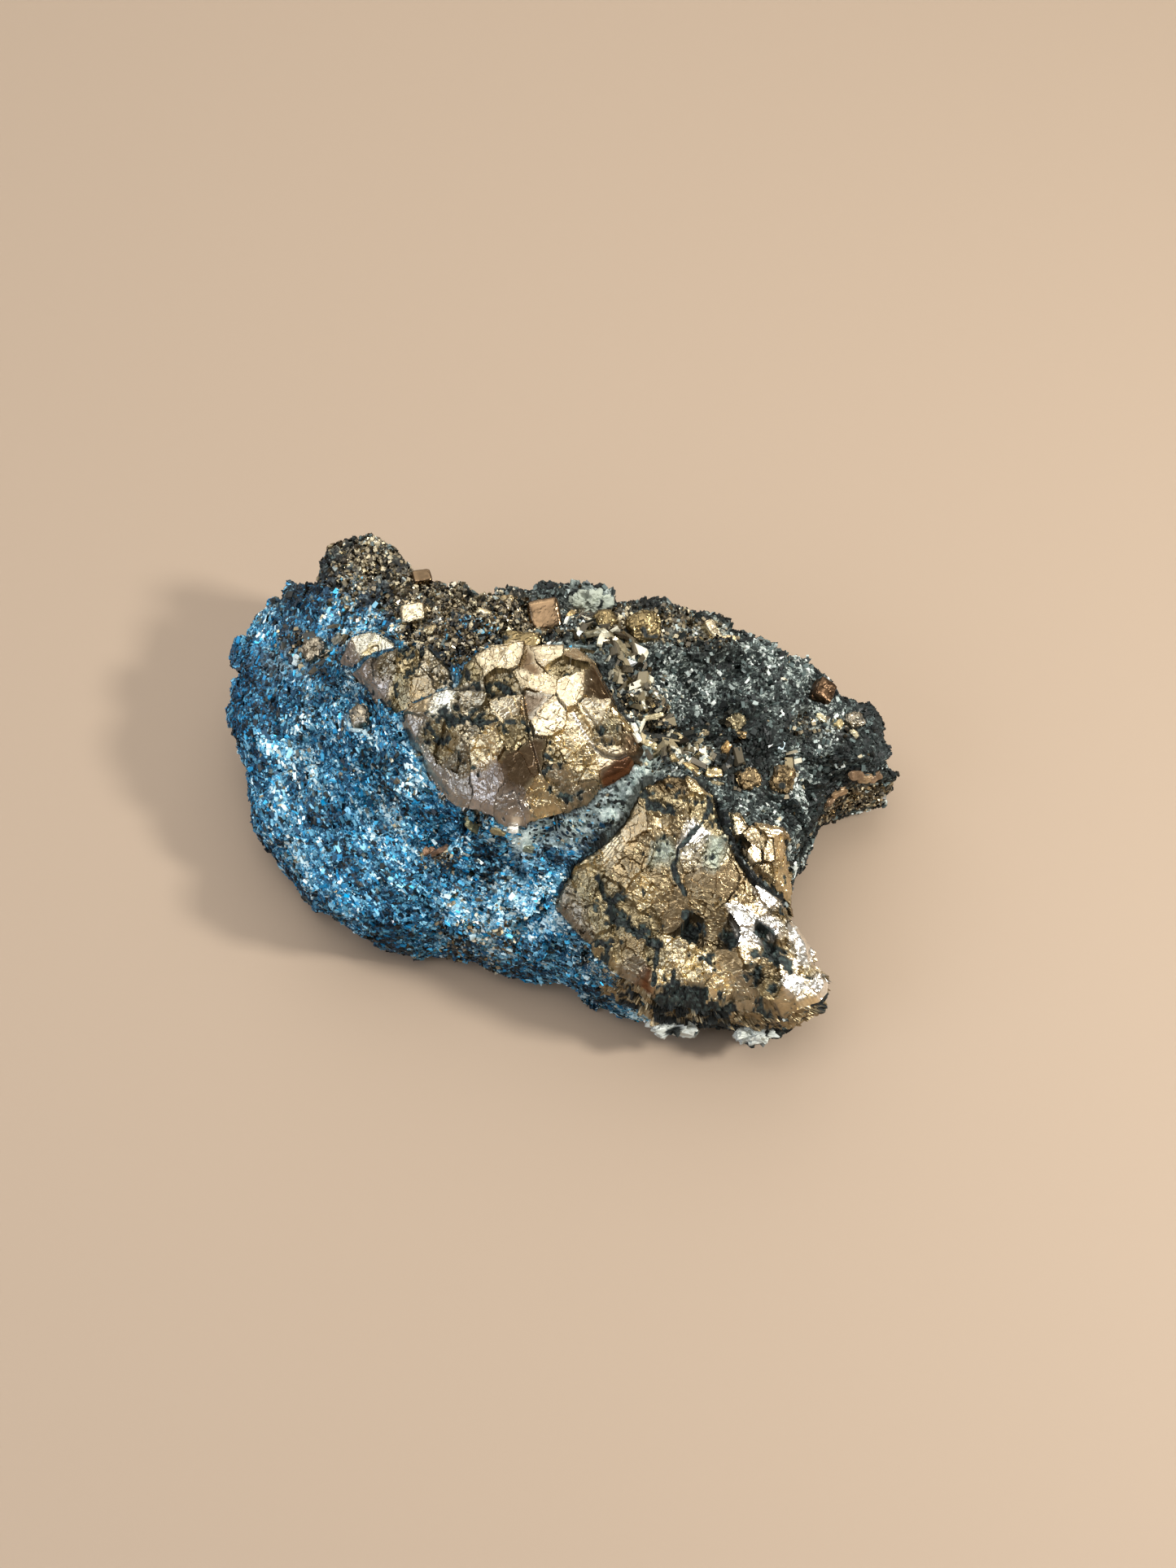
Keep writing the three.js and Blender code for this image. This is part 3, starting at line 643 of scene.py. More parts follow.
@dataclass(frozen=True)
class MetalFinish:
    """Pyrite whose tint, roughness and share of metal are kept on the mesh.

    Args:
        name: name of the material
        mottle: size of its cloudy spots, mm
        depth: how dark those are, 0 to 1
        pits: size of its small relief, mm
        relief: depth of that relief, mm
        gloss: strength of the reflections off what isn't metal, 0 to 1
    """

    name: str
    mottle: float = 0.9
    depth: float = 0.35
    pits: float = 0.3
    relief: float = 0.03
    gloss: float = 0.35

    CONTRAST = (0.3, 0.7)  # part of a noise's range that is stretched to the whole
    WEAR = (0.6, 0.07)  # size of the worn spots as a share of the cloudy ones', and change of roughness

    def make(self) -> bpy.types.Material:
        """Builds the material."""
        shader = Shader(self.name)
        worn_size, wear_change = self.WEAR
        clouds = shader.between(shader.noise(self.mottle, 4, 0.65), *self.CONTRAST, 1 - self.depth, 1.0)
        shade = shader.add("ShaderNodeCombineColor", {"Red": clouds, "Green": clouds, "Blue": clouds})
        tint = shader.mix(1.0, shader.attribute("tint", "Color"), shade.outputs[0], "MULTIPLY")
        spots = shader.noise(self.mottle * worn_size, 2)
        wear = shader.between(spots, *self.CONTRAST, -wear_change, wear_change)
        rough = shader.math("ADD", shader.attribute("rough"), wear, clamp=True)
        shader.bump(shader.noise(self.pits, 3, 0.6), self.relief, shader.attribute("rough"))
        metal = shader.attribute("metal")
        return shader.finish(
            Base_Color=tint, Roughness=rough, Metallic=metal, Specular_IOR_Level=self.gloss
        )


@dataclass(frozen=True)
class SchistFinish:
    """Fine schist: dark, grey and pale grains, paler or browner by zone, with painted sky reflection and
    shade.

    Args:
        name: name of the material
        coarse: size of its larger grains, mm
        fine: size of its smaller grains, mm
    """

    name: str
    coarse: float = 0.5
    fine: float = 0.24

    NEUTRAL = ((0.0, (11, 15, 14)), (0.45, (28, 34, 33)), (0.75, (68, 77, 74)), (0.97, (152, 161, 154)))
    # painted reflection: the bluish ramp stands for sky light reflected on the left flank
    BLUE = ((0.0, (3, 24, 40)), (0.38, (16, 66, 96)), (0.7, (58, 132, 170)), (0.95, (158, 210, 232)))
    PALE = ((0.0, (100, 116, 112)), (0.3, (150, 164, 158)), (0.7, (186, 197, 189)), (1.0, (216, 222, 212)))
    ORE = ((0.0, (38, 36, 32)), (0.4, (80, 72, 60)), (0.8, (134, 119, 94)), (1.0, (198, 182, 150)))
    STREAKED = 0.3  # how far the grains' streaked brightness, which holds painted light and shade, moves a grain's place along those
    ROUGH = (0.42, 0.85)  # lowest and highest roughness of a grain
    RELIEF = (0.07, 0.7)  # depth of the grains, mm, and its strength
    GLOSS = 0.25  # strength of the reflections, 0 to 1

    def make(self) -> bpy.types.Material:
        """Builds the material."""
        shader = Shader(self.name)
        coarse = shader.add("ShaderNodeSeparateColor", {"Color": shader.grains(self.coarse)}).outputs
        fine = shader.add("ShaderNodeSeparateColor", {"Color": shader.grains(self.fine)}).outputs
        value = shader.math("MULTIPLY", shader.math("ADD", coarse[0], fine[0]), 0.5)
        # the streaked brightness, partly painted light and shade, moves each grain's value
        value = shader.math("ADD", value, shader.math("MULTIPLY", shader.attribute("streak_and_painted_light"), self.STREAKED))
        parts = shader.add("ShaderNodeSeparateColor", {"Color": shader.attribute("zone", "Color")}).outputs
        # painted reflection: the bluish ramp of sky light comes in by the zone's first share
        colour = shader.mix(parts[0], shader.ramp(value, self.NEUTRAL), shader.ramp(value, self.BLUE))
        colour = shader.mix(parts[1], colour, shader.ramp(value, self.PALE))
        colour = shader.mix(parts[2], colour, shader.ramp(value, self.ORE))
        # painted shade: the light attribute darkens the colour in hollows and seams
        light = shader.attribute("light")
        dark = shader.add("ShaderNodeCombineColor", {"Red": light, "Green": light, "Blue": light})
        colour = shader.mix(1.0, colour, dark.outputs[0], "MULTIPLY")
        rough = shader.between(fine[1], 0.0, 1.0, *self.ROUGH)
        shader.bump(shader.math("ADD", coarse[2], fine[2]), *self.RELIEF)
        return shader.finish(Base_Color=colour, Roughness=rough, Specular_IOR_Level=self.GLOSS)


# ---- the schist


class Rim:
    """The closed smooth curve through the rim's corners (Catmull-Rom), looked up by direction."""

    def __init__(self) -> None:
        corners = np.array(RIM, float)
        before, after, beyond = (np.roll(corners, -n, axis=0)[:, None] for n in (-1, 1, 2))
        start = corners[:, None]
        t = (np.arange(CORNERS_PER_SPAN) / CORNERS_PER_SPAN)[None, :, None]
        leave, arrive = (after - before) / 2, (beyond - start) / 2
        cubic = (2 * start - 2 * after + leave + arrive) * t**3
        square = (3 * after - 3 * start - 2 * leave - arrive) * t**2
        line = (cubic + square + leave * t + start).reshape(-1, 3)
        turns = np.arctan2(line[:, 1], line[:, 0])
        order = np.argsort(turns)
        self.turns, self.line = turns[order], line[order]

    def at(self, angle: Array) -> tuple[Array, Array]:
        """Looks the rim up.

        Args:
            angle: directions, radians from +X towards +Y

        Returns:
            Radius and height of the rim in each, mm.
        """
        wrapped = (angle + math.pi) % math.tau - math.pi
        radii = np.hypot(self.line[:, 0], self.line[:, 1])
        radius = np.interp(wrapped, self.turns, radii, period=math.tau)
        height = np.interp(wrapped, self.turns, self.line[:, 2], period=math.tau)
        return radius, height


def hill_height(x: Array, y: Array) -> Array:
    """Height of the top without its shoulders: HILLS, each weighted by its nearness.

    Args:
        x, y: places on the plan, mm

    Returns:
        Heights, mm.
    """
    total = np.zeros(len(x))
    weights = np.zeros(len(x))
    for hill_x, hill_y, height in HILLS:
        d = (x - hill_x) ** 2 + (y - hill_y) ** 2
        weight = np.exp(-d / (2 * HILL_REACH**2)) + 1e-9 / (1 + d)
        total += weight * height
        weights += weight
    return total / weights


def ground(rim: Rim, x: float, y: float) -> float:
    """Height of the lump's smooth top over one place of the plan.

    Args:
        rim: the lump's rim
        x, y: the place, mm

    Returns:
        The height, mm.
    """
    radius, rim_height = rim.at(np.array([math.atan2(y, x)]))
    f = min(1.0, math.hypot(x, y) / radius[0])
    hill = hill_height(np.array([x]), np.array([y]))[0]
    return rim_height[0] + (hill - rim_height[0]) * (1 - f * f) ** (SHOULDER / 2)


def foliation(points: Array) -> Array:
    """Places in a space where lengths along the schist's foliation are shortened.

    The foliation runs in circles on the plan round FOLD, so that streaks follow the lump's left side.

    Args:
        points: places, (n, 3), mm

    Returns:
        Distance from FOLD, shortened length of the arc round it, and half the height.
    """
    around = points[:, :2] - FOLD
    radius = np.hypot(around[:, 0], around[:, 1])
    turn = np.arctan2(around[:, 1], around[:, 0])
    return np.column_stack([radius, turn * FOLD_RADIUS / STREAK_LENGTH, points[:, 2] * 0.5])


# Routes on the plan that marks of two sorts follow, mm.
KNOB_NOTCH = ((-24.7, 21.8), (-22.8, 22.2), (-21.2, 23))
BLOCK_FURROW = ((-18.7, 14), (-16.7, 13.4), (-14.6, 12))
ARM_FURROW = ((14.1, 9.5), (17.5, 9.2), (20.9, 8.2))
LOWER_EDGE = ((0.2, -20.3), (3.6, -24.6), (7.3, -27.5), (10.2, -28.7))
LEFT_HOLE = ((-8.1, -15.3),)


@dataclass(frozen=True)
class Lump:
    """The schist: one closed sheet over the rim and one under it, with broken relief.

    A ring is a share `full` of the way up its flank and a share f = sqrt(1 - full^(2 / SHOULDER))
    of the way out. Rings are evenly spaced along a typical flank. The smooth form is then moved
    away from SPINE by broad swellings and four sizes of broken face.

    Args:
        rim: its widest line
        crystals: the large crystals that it fits
        rings: rings of the top; the underside has half as many
    """

    rim: Rim
    crystals: Sequence[Crystal]
    rings: int = 138

    SWELL = (1.1, 13.0, 1)  # amount, size, seed
    CHIPS = ((8.5, 0.17, 7), (3.8, 0.17, 17), (1.7, 0.2, 31), (0.8, 0.24, 41))  # size, slope, seed
    GRAIN = (0.07, 0.5, 51)  # amount, size, seed
    REACH, HEIGHT = 35.0, 18.0  # typical flank, by which the rings are spaced
    FLANK_STEPS = 4000  # steps in which that flank's length is measured
    RELIEF_BELOW = 0.5  # the underside's share of it

    HOLLOWS = (
        Mark(((-40.3, 15.7),), 0.8, 1.2), Mark(KNOB_NOTCH, 0.9, 1.6), Mark(BLOCK_FURROW, 1.2, 0.9),
        Mark(ARM_FURROW, 1.6, 1), Mark(LOWER_EDGE, 0.5, 1), Mark(LEFT_HOLE, 0.8, 1.5),
        Mark(((-28.2, 14.2), (-26.8, 10.4), (-23.6, 5.6)), 1.3, 1.4),
        Mark(((-8.5, -12.8), (-4.6, -14.6), (-2.8, -16)), 0.5, 0.6),
    )
    RIDGES = (
        Mark(((-41.3, 12.5), (-40.4, 7)), 1.9, 1.3), Mark(((-40.8, 14.1),), 1.3, 2.1),
        Mark(((-29.9, 28.8),), 1.8, 1.2),
        Mark(((-3.9, -12.3), (1.7, -11.7), (5.9, -10.9), (8.1, -8.8), (10.4, -5.9), (10.9, -3.1)), 1.1, 0.4),
        Mark(((1.7, -25.1), (5.4, -27.4), (9.7, -28.6)), 0.7, 0.4),
    )
    PALE = (
        Mark(((-3.9, -12.5), (1.7, -11.9), (5.9, -11)), 1.8, 0.8, above=14),
        Mark(((5.9, -11), (8.1, -9), (10.4, -6), (10.9, -3.1)), 1.9, 1.2, above=14),
        Mark(((1.7, 8.9), (3.3, 8.3)), 1.8, 0.7, above=22),
        Mark(((0.6, 22.4), (3.1, 22.3), (6, 21)), 0.8, 0.4, above=20),
        Mark(((-25.3, 4.8), (-23.2, 2.6)), 0.8, 0.7, above=14),
        Mark(((-36, 17), (-33.5, 15.5)), 2.6, 0.35, above=12),
    )
    ORE = (
        Mark(((-20, 24), (-12, 18.3), (-4, 13.2)), 3.6, 0.95, above=12),
        Mark(((-18, 16), (-12.5, 10), (-9.5, 10)), 2.4, 1), Mark(((-24.6, 27),), 4.6, 0.95, above=12),
        Mark(((4, 17), (12, 16), (19, 16)), 2.6, 0.6, above=15),
        Mark(((14, -4), (18, -2.5), (25, -3)), 2.4, 0.12, above=15),
        Mark(((30, 5), (34, 5.5)), 2, 0.2, above=12),
        Mark(((33.2, -0.7), (37.2, 1.2), (41, 1.6)), 1.3, 0.95, above=4, below=9.6),
        Mark(((-12.5, -18), (-6, -20.5)), 2.2, 0.25), Mark(((-15.3, -12), (-12.9, -12.8)), 0.7, 0.9),
        Mark(((-34, 19), (-31.5, 16.5)), 1.6, 0.5), Mark(((9, 3), (12, 0)), 2.2, 0.5),
    )
    # Painted shade in hollows, notches and furrows of the relief.
    DARK = (
        Mark(KNOB_NOTCH, 1.2, 0.85), Mark(BLOCK_FURROW, 1.2, 0.5), Mark(ARM_FURROW, 2.4, 0.15),
        Mark(LOWER_EDGE, 0.6, 0.7), Mark(LEFT_HOLE, 1, 0.7), Mark(((-26.8, 11.2), (-24.4, 7.4)), 0.8, 0.6),
        Mark(((-14.5, 9.6), (-11.8, 7.6)), 0.8, 0.6),
        Mark(((-8.5, -12.6), (-4.6, -14.4), (-2.8, -15.8)), 0.5, 0.5),
    )
    SKY_SHEEN_EDGE = (-10.0, 9.0)  # along x, mm, where the painted sky reflection is full and where it ends
    BLUE_LEAN, BLUE_CORNER = 0.45, (8, 1.3)  # how that edge leans with y, and leans more from 8 mm on
    SKY_SHEEN_WAVES = ((5, 6, 61), (3, 2, 62))
    PATCHES_ALL, PATCHES_ALONG = (0.22, 6.5, 66), (0.2, 2.6, 67)  # free, and along the foliation
    STREAKS_ALL, STREAKS_ALONG = (0.5, 4.2, 68), ((0.6, 2.6, 64), (0.7, 0.9, 65))
    RAGGED = (0.5, 1.6, 63)  # how the other zones fray
    BURIED = 0.05  # share of a small crystal's height that the schist reaches above its middle
    CLEAR = (0.55, 1.0)  # shares of its width between which the schist rises to its own height
    SEAM = 0.35  # width of the seam round a large crystal, mm
    # depth of the seam round a large crystal, mm, and how strong the painted shade in it is
    SEAM_DEPTH, SEAM_DARK = 0.25, 0.8
    FITTED = 1.8  # how far outside a large crystal the schist is fitted to it, mm
    BANK = (0.1, FITTED)  # where its bank against the crystal falls away, mm
    CLIMB = (4.0, 0.95)  # highest step that the bank climbs, mm, and how much of it
    LIP = 0.55  # how far the bank stays under the crystal's edge, mm
    UNDER = (-0.1, -0.7)  # where the schist drops under the crystal, mm
    DROP = (0.4, 1.6)  # how far it lies under the foot, or else under the plates, mm
    # Painted light: grains made brighter on flanks that face the front, and spots of painted highlights.
    PAINTED_LIGHT = (
        Mark(((-33, 9), (-28, 3), (-20, -6)), 4, 0.3), Mark(((-30, -9), (-18, -15), (-6, -19)), 4, 0.24),
        Mark(((-4, -17), (4, -22), (8, -27)), 4, 0.72), Mark(((-8, -12), (0, -15)), 3, 0.2),
        Mark(((26, 13), (31, 12.6), (35, 8)), 3, 0.4), Mark(((-33.8, 3.6), (-33.2, 2.2)), 1.2, 1.1),
        Mark(((-29.8, 0.6), (-28.6, -1.8), (-26.4, -4.2)), 1.2, 0.9),
        Mark(((-22.4, -9), (-20.6, -11.2), (-18, -12.4)), 1.3, 0.9), Mark(((11, 6), (15, 1)), 2.4, 0.35),
        Mark(((36.5, 6), (40, 4)), 2.4, 0.3), Mark(((14, 11), (18, 9), (23, 7.5)), 3.2, 0.38),
    )
    # Painted shade: grains made darker on the far left edge, low flanks and the arm.
    PAINTED_SHADE = (
        Mark(((-40, 17), (-39, 8)), 3, 0.55), Mark(((-33, 22), (-29, 14), (-27, 7)), 2.6, 0.2),
        Mark(((-28, -12), (-20, -17)), 1.6, 0.3), Mark(((-24, 1), (-19, -4)), 1.8, 0.3),
        Mark(((22, 5), (27, 2), (36, 3), (38, 7)), 4, 0.34), Mark(((18, 1), (22, -2), (26, -6)), 3, 0.34),
    )
    LATH = (
        Mark(((4, 13), (8, 9), (10, 4)), 2.4, 0.75), Mark(((11, 1), (13, -2.5), (18, -3.5)), 2.4, 0.55),
        Mark(((20, 3), (27, -1)), 3, 0.1), Mark(((-33, 18), (-30, 15)), 1.8, 0.5),
        Mark(((-26, 12), (-27, 19)), 1.6, 0.4),
    )

    def spacing(self, rings: int) -> tuple[Array, Array]:
        """Places the rings evenly along a typical flank.

        Args:
            rings: how many there are

        Returns:
            Share of the way out and of the height for each, from the middle to the rim.
        """
        turn = math.pi / 2 * (1 - (1 - np.linspace(0, 1, self.FLANK_STEPS)) ** 3)
        f, full = np.sin(turn), np.maximum(0, np.cos(turn)) ** SHOULDER
        steps = np.hypot(np.diff(f) * self.REACH, np.diff(full) * self.HEIGHT)
        length = np.concatenate([[0], np.cumsum(steps)])
        even = np.linspace(0, length[-1], rings + 1)
        return np.interp(even, length, f), np.interp(even, length, full)

    def relief(self, points: Array) -> Array:
        """Height of the broken relief at each point, mm: swellings, chips, ridges and hollows."""
        chips = sum(chip(points, *one) for one in self.CHIPS)
        marks = strongest(self.RIDGES, points[:, :2]) - strongest(self.HOLLOWS, points[:, :2])
        return swells(0, points, self.SWELL, self.GRAIN) + chips + marks

    def sheet(self, rings: int, below: bool) -> tuple[Array, Array]:
        """One sheet of rings, moved away from SPINE by the relief and worn flat underneath.

        Args:
            rings: how many it has
            below: whether it is the one under the rim

        Returns:
            Its points, mm, and its triangles, which face up.
        """
        numbers, angles, faces = ring_sheet(rings)
        f, full = (row[numbers] for row in self.spacing(rings))
        radius, rim_height = self.rim.at(angles)
        x, y = f * radius * np.cos(angles), f * radius * np.sin(angles)
        if below:
            z = rim_height - (rim_height + SINK) * full
        else:
            z = rim_height + (hill_height(x, y) - rim_height) * full
        points = np.stack([x, y, z], axis=1)
        away = points - points * [SPINE[0], SPINE[1], 0] - [0, 0, SPINE[2]]
        away /= np.maximum(np.linalg.norm(away, axis=1), 1e-9)[:, None]
        share = self.RELIEF_BELOW if below else 1
        lift = self.relief(points) * np.minimum(1, RIM_RELIEF + full) * share
        points = points + away * lift[:, None]
        if not below:
            points[:, 2] = self.under_crystals(points)
        points[:, 2] = np.maximum(0, points[:, 2])
        return points, faces

    def under_crystals(self, points: Array) -> Array:
        """Heights of the top, made to fit the crystals.

        It climbs to the edge of each large crystal, drops into a narrow seam round it and lies low
        under it. Round each small crystal it is kept down, so that the crystal stands out.

        Args:
            points: the top's points, mm

        Returns:
            Their new heights, mm.
        """
        z = points[:, 2].copy()
        highest, share = self.CLIMB
        under_foot, under_plates = self.DROP
        for crystal in self.crystals:
            distance = outline_distance(points[:, :2], crystal.outline)
            near = distance < self.FITTED
            plates, distance = crystal.height(points[near, :2]), distance[near]
            floor = np.maximum(crystal.foot - under_foot, plates - under_plates)
            step = plates - self.LIP - z[near]
            climb = share * (1 - smooth(*self.BANK, distance)) * (step < highest)
            z[near] += np.maximum(step, 0) * climb
            inside = smooth(*self.UNDER, distance)
            seam = self.SEAM_DEPTH * (1 - smooth(0, self.SEAM, np.abs(distance)))
            z[near] += (np.minimum(z[near], floor) - z[near]) * inside - seam
        for small in (one for one in SMALL if one.z is None):
            start, end = max(small.size[:2]) * np.array(self.CLEAR)
            distance = np.hypot(*(points[:, :2] - small.at).T)
            level = small.middle(self.rim) + self.BURIED * small.size[2]
            z += (np.minimum(z, level) - z) * (1 - smooth(start, end, distance))
        return z

    def surface(self) -> Surface:
        """The whole closed surface with its zones."""
        top, faces = self.sheet(self.rings, below=False)
        half = self.rings // 2
        under, under_faces = self.sheet(half, below=True)
        kept = len(under) - 8 * half  # the underside's last ring is every other point of the rim
        rim_start = len(top) - 8 * self.rings
        even = rim_start + 2 * np.arange(8 * half)
        index = np.concatenate([len(top) + np.arange(kept), even])
        lower = index[under_faces][:, ::-1]
        closing = np.stack([even, even + 1, rim_start + (even + 2 - rim_start) % (8 * self.rings)], axis=1)
        points = np.concatenate([top, under[:kept]])
        faces = np.concatenate([faces, lower, closing[:, ::-1]])
        return Surface(points, faces, self.zones(points))

    def zones(self, points: Array) -> Values:
        """The schist's colour zones and tones.

        Args:
            points: places, (n, 3), mm

        Returns:
            "zone" with the shares of a painted bluish reflection of sky light, pale, ore and laths,
            "light" with the painted shade left in hollows and seams, and "streak" with how bright the
            grains are, from foliation streaks and from painted light and shade.
        """
        xy = points[:, :2]
        folded = foliation(points)
        # painted reflection: a bluish sheen of sky light on the left flank, fading out to the right
        bend_from, bend = self.BLUE_CORNER
        fall = xy[:, 0] + self.BLUE_LEAN * xy[:, 1] + bend * np.maximum(0, xy[:, 1] - bend_from)
        fall = swells(fall, points, *self.SKY_SHEEN_WAVES)
        # foliation streaks, then painted light and painted shade from the marks
        streak_and_painted_light = swells(swells(0, folded, *self.STREAKS_ALONG), points, self.STREAKS_ALL)
        streak_and_painted_light += strongest(self.PAINTED_LIGHT, xy) - strongest(self.PAINTED_SHADE, xy)
        patchy = swells(swells(0.84, points, self.PATCHES_ALL), folded, self.PATCHES_ALONG)
        blue = (1 - smooth(*self.SKY_SHEEN_EDGE, fall)) * np.clip(patchy, 0.3, 1)
        ragged = swells(0.75, points, self.RAGGED)
        pale = np.clip(strongest(self.PALE, points) * ragged, 0, 1)
        ore = np.clip(strongest(self.ORE, points) * ragged, 0, 1)
        # painted shade in hollows and furrows, and in the seams round the large crystals
        dark = strongest(self.DARK, xy)
        for crystal in self.crystals:
            seam = 1 - smooth(0, self.SEAM, outline_distance(xy, crystal.outline))
            dark = np.maximum(dark, self.SEAM_DARK * seam * (points[:, 2] > crystal.foot - 1))
        lath = np.clip(strongest(self.LATH, xy), 0, 1)
        return {"zone": np.stack([blue, pale, ore, lath], axis=1), "light": 1 - dark, "streak_and_painted_light": streak_and_painted_light}


# ---- the crystals


DIRTY_ROUGH = 0.75  # roughness of chlorite


@dataclass(frozen=True)
class Crystal:
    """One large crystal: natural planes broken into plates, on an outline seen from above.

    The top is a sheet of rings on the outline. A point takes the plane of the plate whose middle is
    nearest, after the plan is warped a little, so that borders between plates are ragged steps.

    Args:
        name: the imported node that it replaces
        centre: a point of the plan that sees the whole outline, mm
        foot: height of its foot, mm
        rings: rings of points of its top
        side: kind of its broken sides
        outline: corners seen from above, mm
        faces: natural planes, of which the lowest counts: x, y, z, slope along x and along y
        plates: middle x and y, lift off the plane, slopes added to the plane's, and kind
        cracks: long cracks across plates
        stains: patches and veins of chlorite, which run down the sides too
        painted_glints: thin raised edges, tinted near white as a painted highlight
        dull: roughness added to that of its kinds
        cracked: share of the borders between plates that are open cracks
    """

    name: str
    centre: tuple[float, float]
    foot: float
    rings: int
    side: Kind
    outline: Points
    faces: Points
    plates: Sequence[Plate]
    cracks: Sequence[Mark] = ()
    stains: Sequence[Mark] = ()
    painted_glints: Sequence[Mark] = ()
    dull: float = 0.0
    cracked: float = 0.3

    WARP = ((2.4, 0.42), (0.9, 0.18), (0.35, 0.08))  # size and strength of the warps of the plan, mm
    CRACK = (0.1, 0.3)  # half width and depth of an open crack, mm
    BLUR = 0.7  # distance over which neighbouring plates' finishes run together, mm
    ROUNDING = (0.9, 0.7)  # width and depth of the worn edge along the outline, mm
    HACKLES = ((2.2, 0.07), (1.1, 0.11), (0.55, 0.09), (0.3, 0.05))  # size and slope of broken facets
    STRIA = 0.42  # spacing of parallel ridges, mm
    FLECKED = 0.34  # how far small broken facets differ in brightness
    FLECK, SPECK = (0.55, 106), (0.3, 100)  # size and seed of those, and of the chlorite's own grains
    PLATES_APART = 7.0  # shift of the noises from plate to plate, mm
    COVER = ((0.3, 1.5, 95), (0.3, 0.6, 96), (0.16, 0.3, 105))  # where the chlorite lies on the top
    SIDE_COVER = ((0.36, 1.6, 101), (0.24, 0.6, 102))  # and on the sides
    CHLORITE_DEPTH = (0.22, 0.08, 0.35, 97)  # how far it lies lower, and its lumps
    CHLORITE = ((13, 19, 19), (62, 76, 72))  # its dark and its pale grains
    PAINTED_GLINT = ((255, 250, 238), 0.12)  # colour of the painted highlight on a raised edge, and how far that edge is raised, mm
    WALL_ROWS = 26
    WALL_CHIPS = ((1.6, 0.16, 74), (0.6, 0.16, 75))
    WALL_HOLLOW = 0.12  # how far the sides are hollowed, mm
    RAGGED, RAGGED_REACH = (0.1, 0.6, 73), 9  # waver of the outline, looked up on a circle, mm

    def planes(self) -> Array:
        """Height at its middle and slopes along x and y of each plate."""
        rows = []
        for x, y, lift, add_x, add_y, _ in self.plates:
            heights = [fz + sx * (x - fx) + sy * (y - fy) for fx, fy, fz, sx, sy in self.faces]
            lowest = int(np.argmin(heights))
            _, _, _, slope_x, slope_y = self.faces[lowest]
            rows.append((heights[lowest] + lift, slope_x + add_x, slope_y + add_y))
        return np.array(rows)

    def nearest(self, xy: Array, warped: bool = True) -> tuple[Array, Array, Array]:
        """Finds the plate of each place.

        Args:
            xy: places, (n, 2), mm
            warped: whether borders are ragged

        Returns:
            The number of the nearest plate, that of the next, and the distance to their border, mm.
        """
        place = xy.astype(float)
        if warped:
            space = np.column_stack([xy, np.zeros(len(xy))])
            for size, strength in self.WARP:
                place = place + strength * np.column_stack([swell(space, size, 71), swell(space, size, 72)])
        first, second = (np.full(len(xy), np.inf) for _ in range(2))
        plate, other = (np.zeros(len(xy), int) for _ in range(2))
        for n, (x, y, *_) in enumerate(self.plates):
            d = (place[:, 0] - x) ** 2 + (place[:, 1] - y) ** 2
            closest, next_closest = d < first, (d >= first) & (d < second)
            second = np.where(closest, first, np.where(next_closest, d, second))
            other = np.where(closest, plate, np.where(next_closest, n, other))
            first = np.where(closest, d, first)
            plate = np.where(closest, n, plate)
        middles = np.array([row[:2] for row in self.plates], float)
        apart = np.linalg.norm(middles[plate] - middles[other], axis=1)
        return plate, other, (second - first) / (2 * np.maximum(apart, 1e-6))

    def height(self, xy: Array) -> Array:
        """Height of the plates' planes at each place of the plan, mm."""
        plate, _, _ = self.nearest(xy, warped=False)
        return self.plane_height(xy, plate)

    def plane_height(self, xy: Array, plate: Array) -> Array:
        """Height of a plate's plane, level + slopes times distances from its middle, over the foot.

        Args:
            xy: places, (n, 2), mm
            plate: the number of the plate of each

        Returns:
            Heights, mm.
        """
        middles = np.array([row[:2] for row in self.plates], float)[plate]
        level, slope_x, slope_y = self.planes()[plate].T
        height = level + slope_x * (xy[:, 0] - middles[:, 0]) + slope_y * (xy[:, 1] - middles[:, 1])
        return np.maximum(self.foot + 1, height)

    def of_kind(self, plate: Array, quality: str) -> Array:
        """One quality of the kind of each point's plate."""
        return np.array([getattr(row[5].value, quality) for row in self.plates], float)[plate]

    def top(self, xy: Array) -> tuple[Array, Values]:
        """The top's sheet: planes of the plates, with facets, ridges, cracks, chlorite and painted
        highlights.

        Args:
            xy: places, (n, 2), mm

        Returns:
            Their heights, mm, and tint, roughness and share of metal.
        """
        plate, other, border = self.nearest(xy)
        level = self.plane_height(xy, plate)
        space = np.column_stack([xy, level + self.PLATES_APART * plate])
        even = np.column_stack([xy, level])
        ease = 0.5 * (1 - smooth(0, self.BLUR, border))
        hackle = self.of_kind(plate, "hackle")
        facets = sum(chip(space, size, slope, 81 + n) for n, (size, slope) in enumerate(self.HACKLES))
        turn = math.pi * hashed(plate, plate * 0.0, plate * 0.0, 91)
        along = swells(xy[:, 0] * np.cos(turn) + xy[:, 1] * np.sin(turn), space, (0.25, 2, 92))
        ridges = self.of_kind(plate, "stria") * np.abs(np.mod(along / self.STRIA, 1) - 0.5) * 2
        low, high = np.minimum(plate, other), np.maximum(plate, other)
        half_width, crack_depth = self.CRACK
        opened = hashed(low, high, low * 0.0, 93) < self.cracked
        crack_width = half_width * (0.4 + 1.2 * hashed(high, low, low * 0.0, 94))
        crack = opened * (1 - smooth(0.3, 1.0, border / crack_width))
        crack = np.maximum(crack, strongest(self.cracks, xy))
        share = np.maximum(self.blurred("chlorite", plate, other, ease), strongest(self.stains, xy))
        chlorite = patches(swells(0.5, even, *self.COVER), share, 0.03)
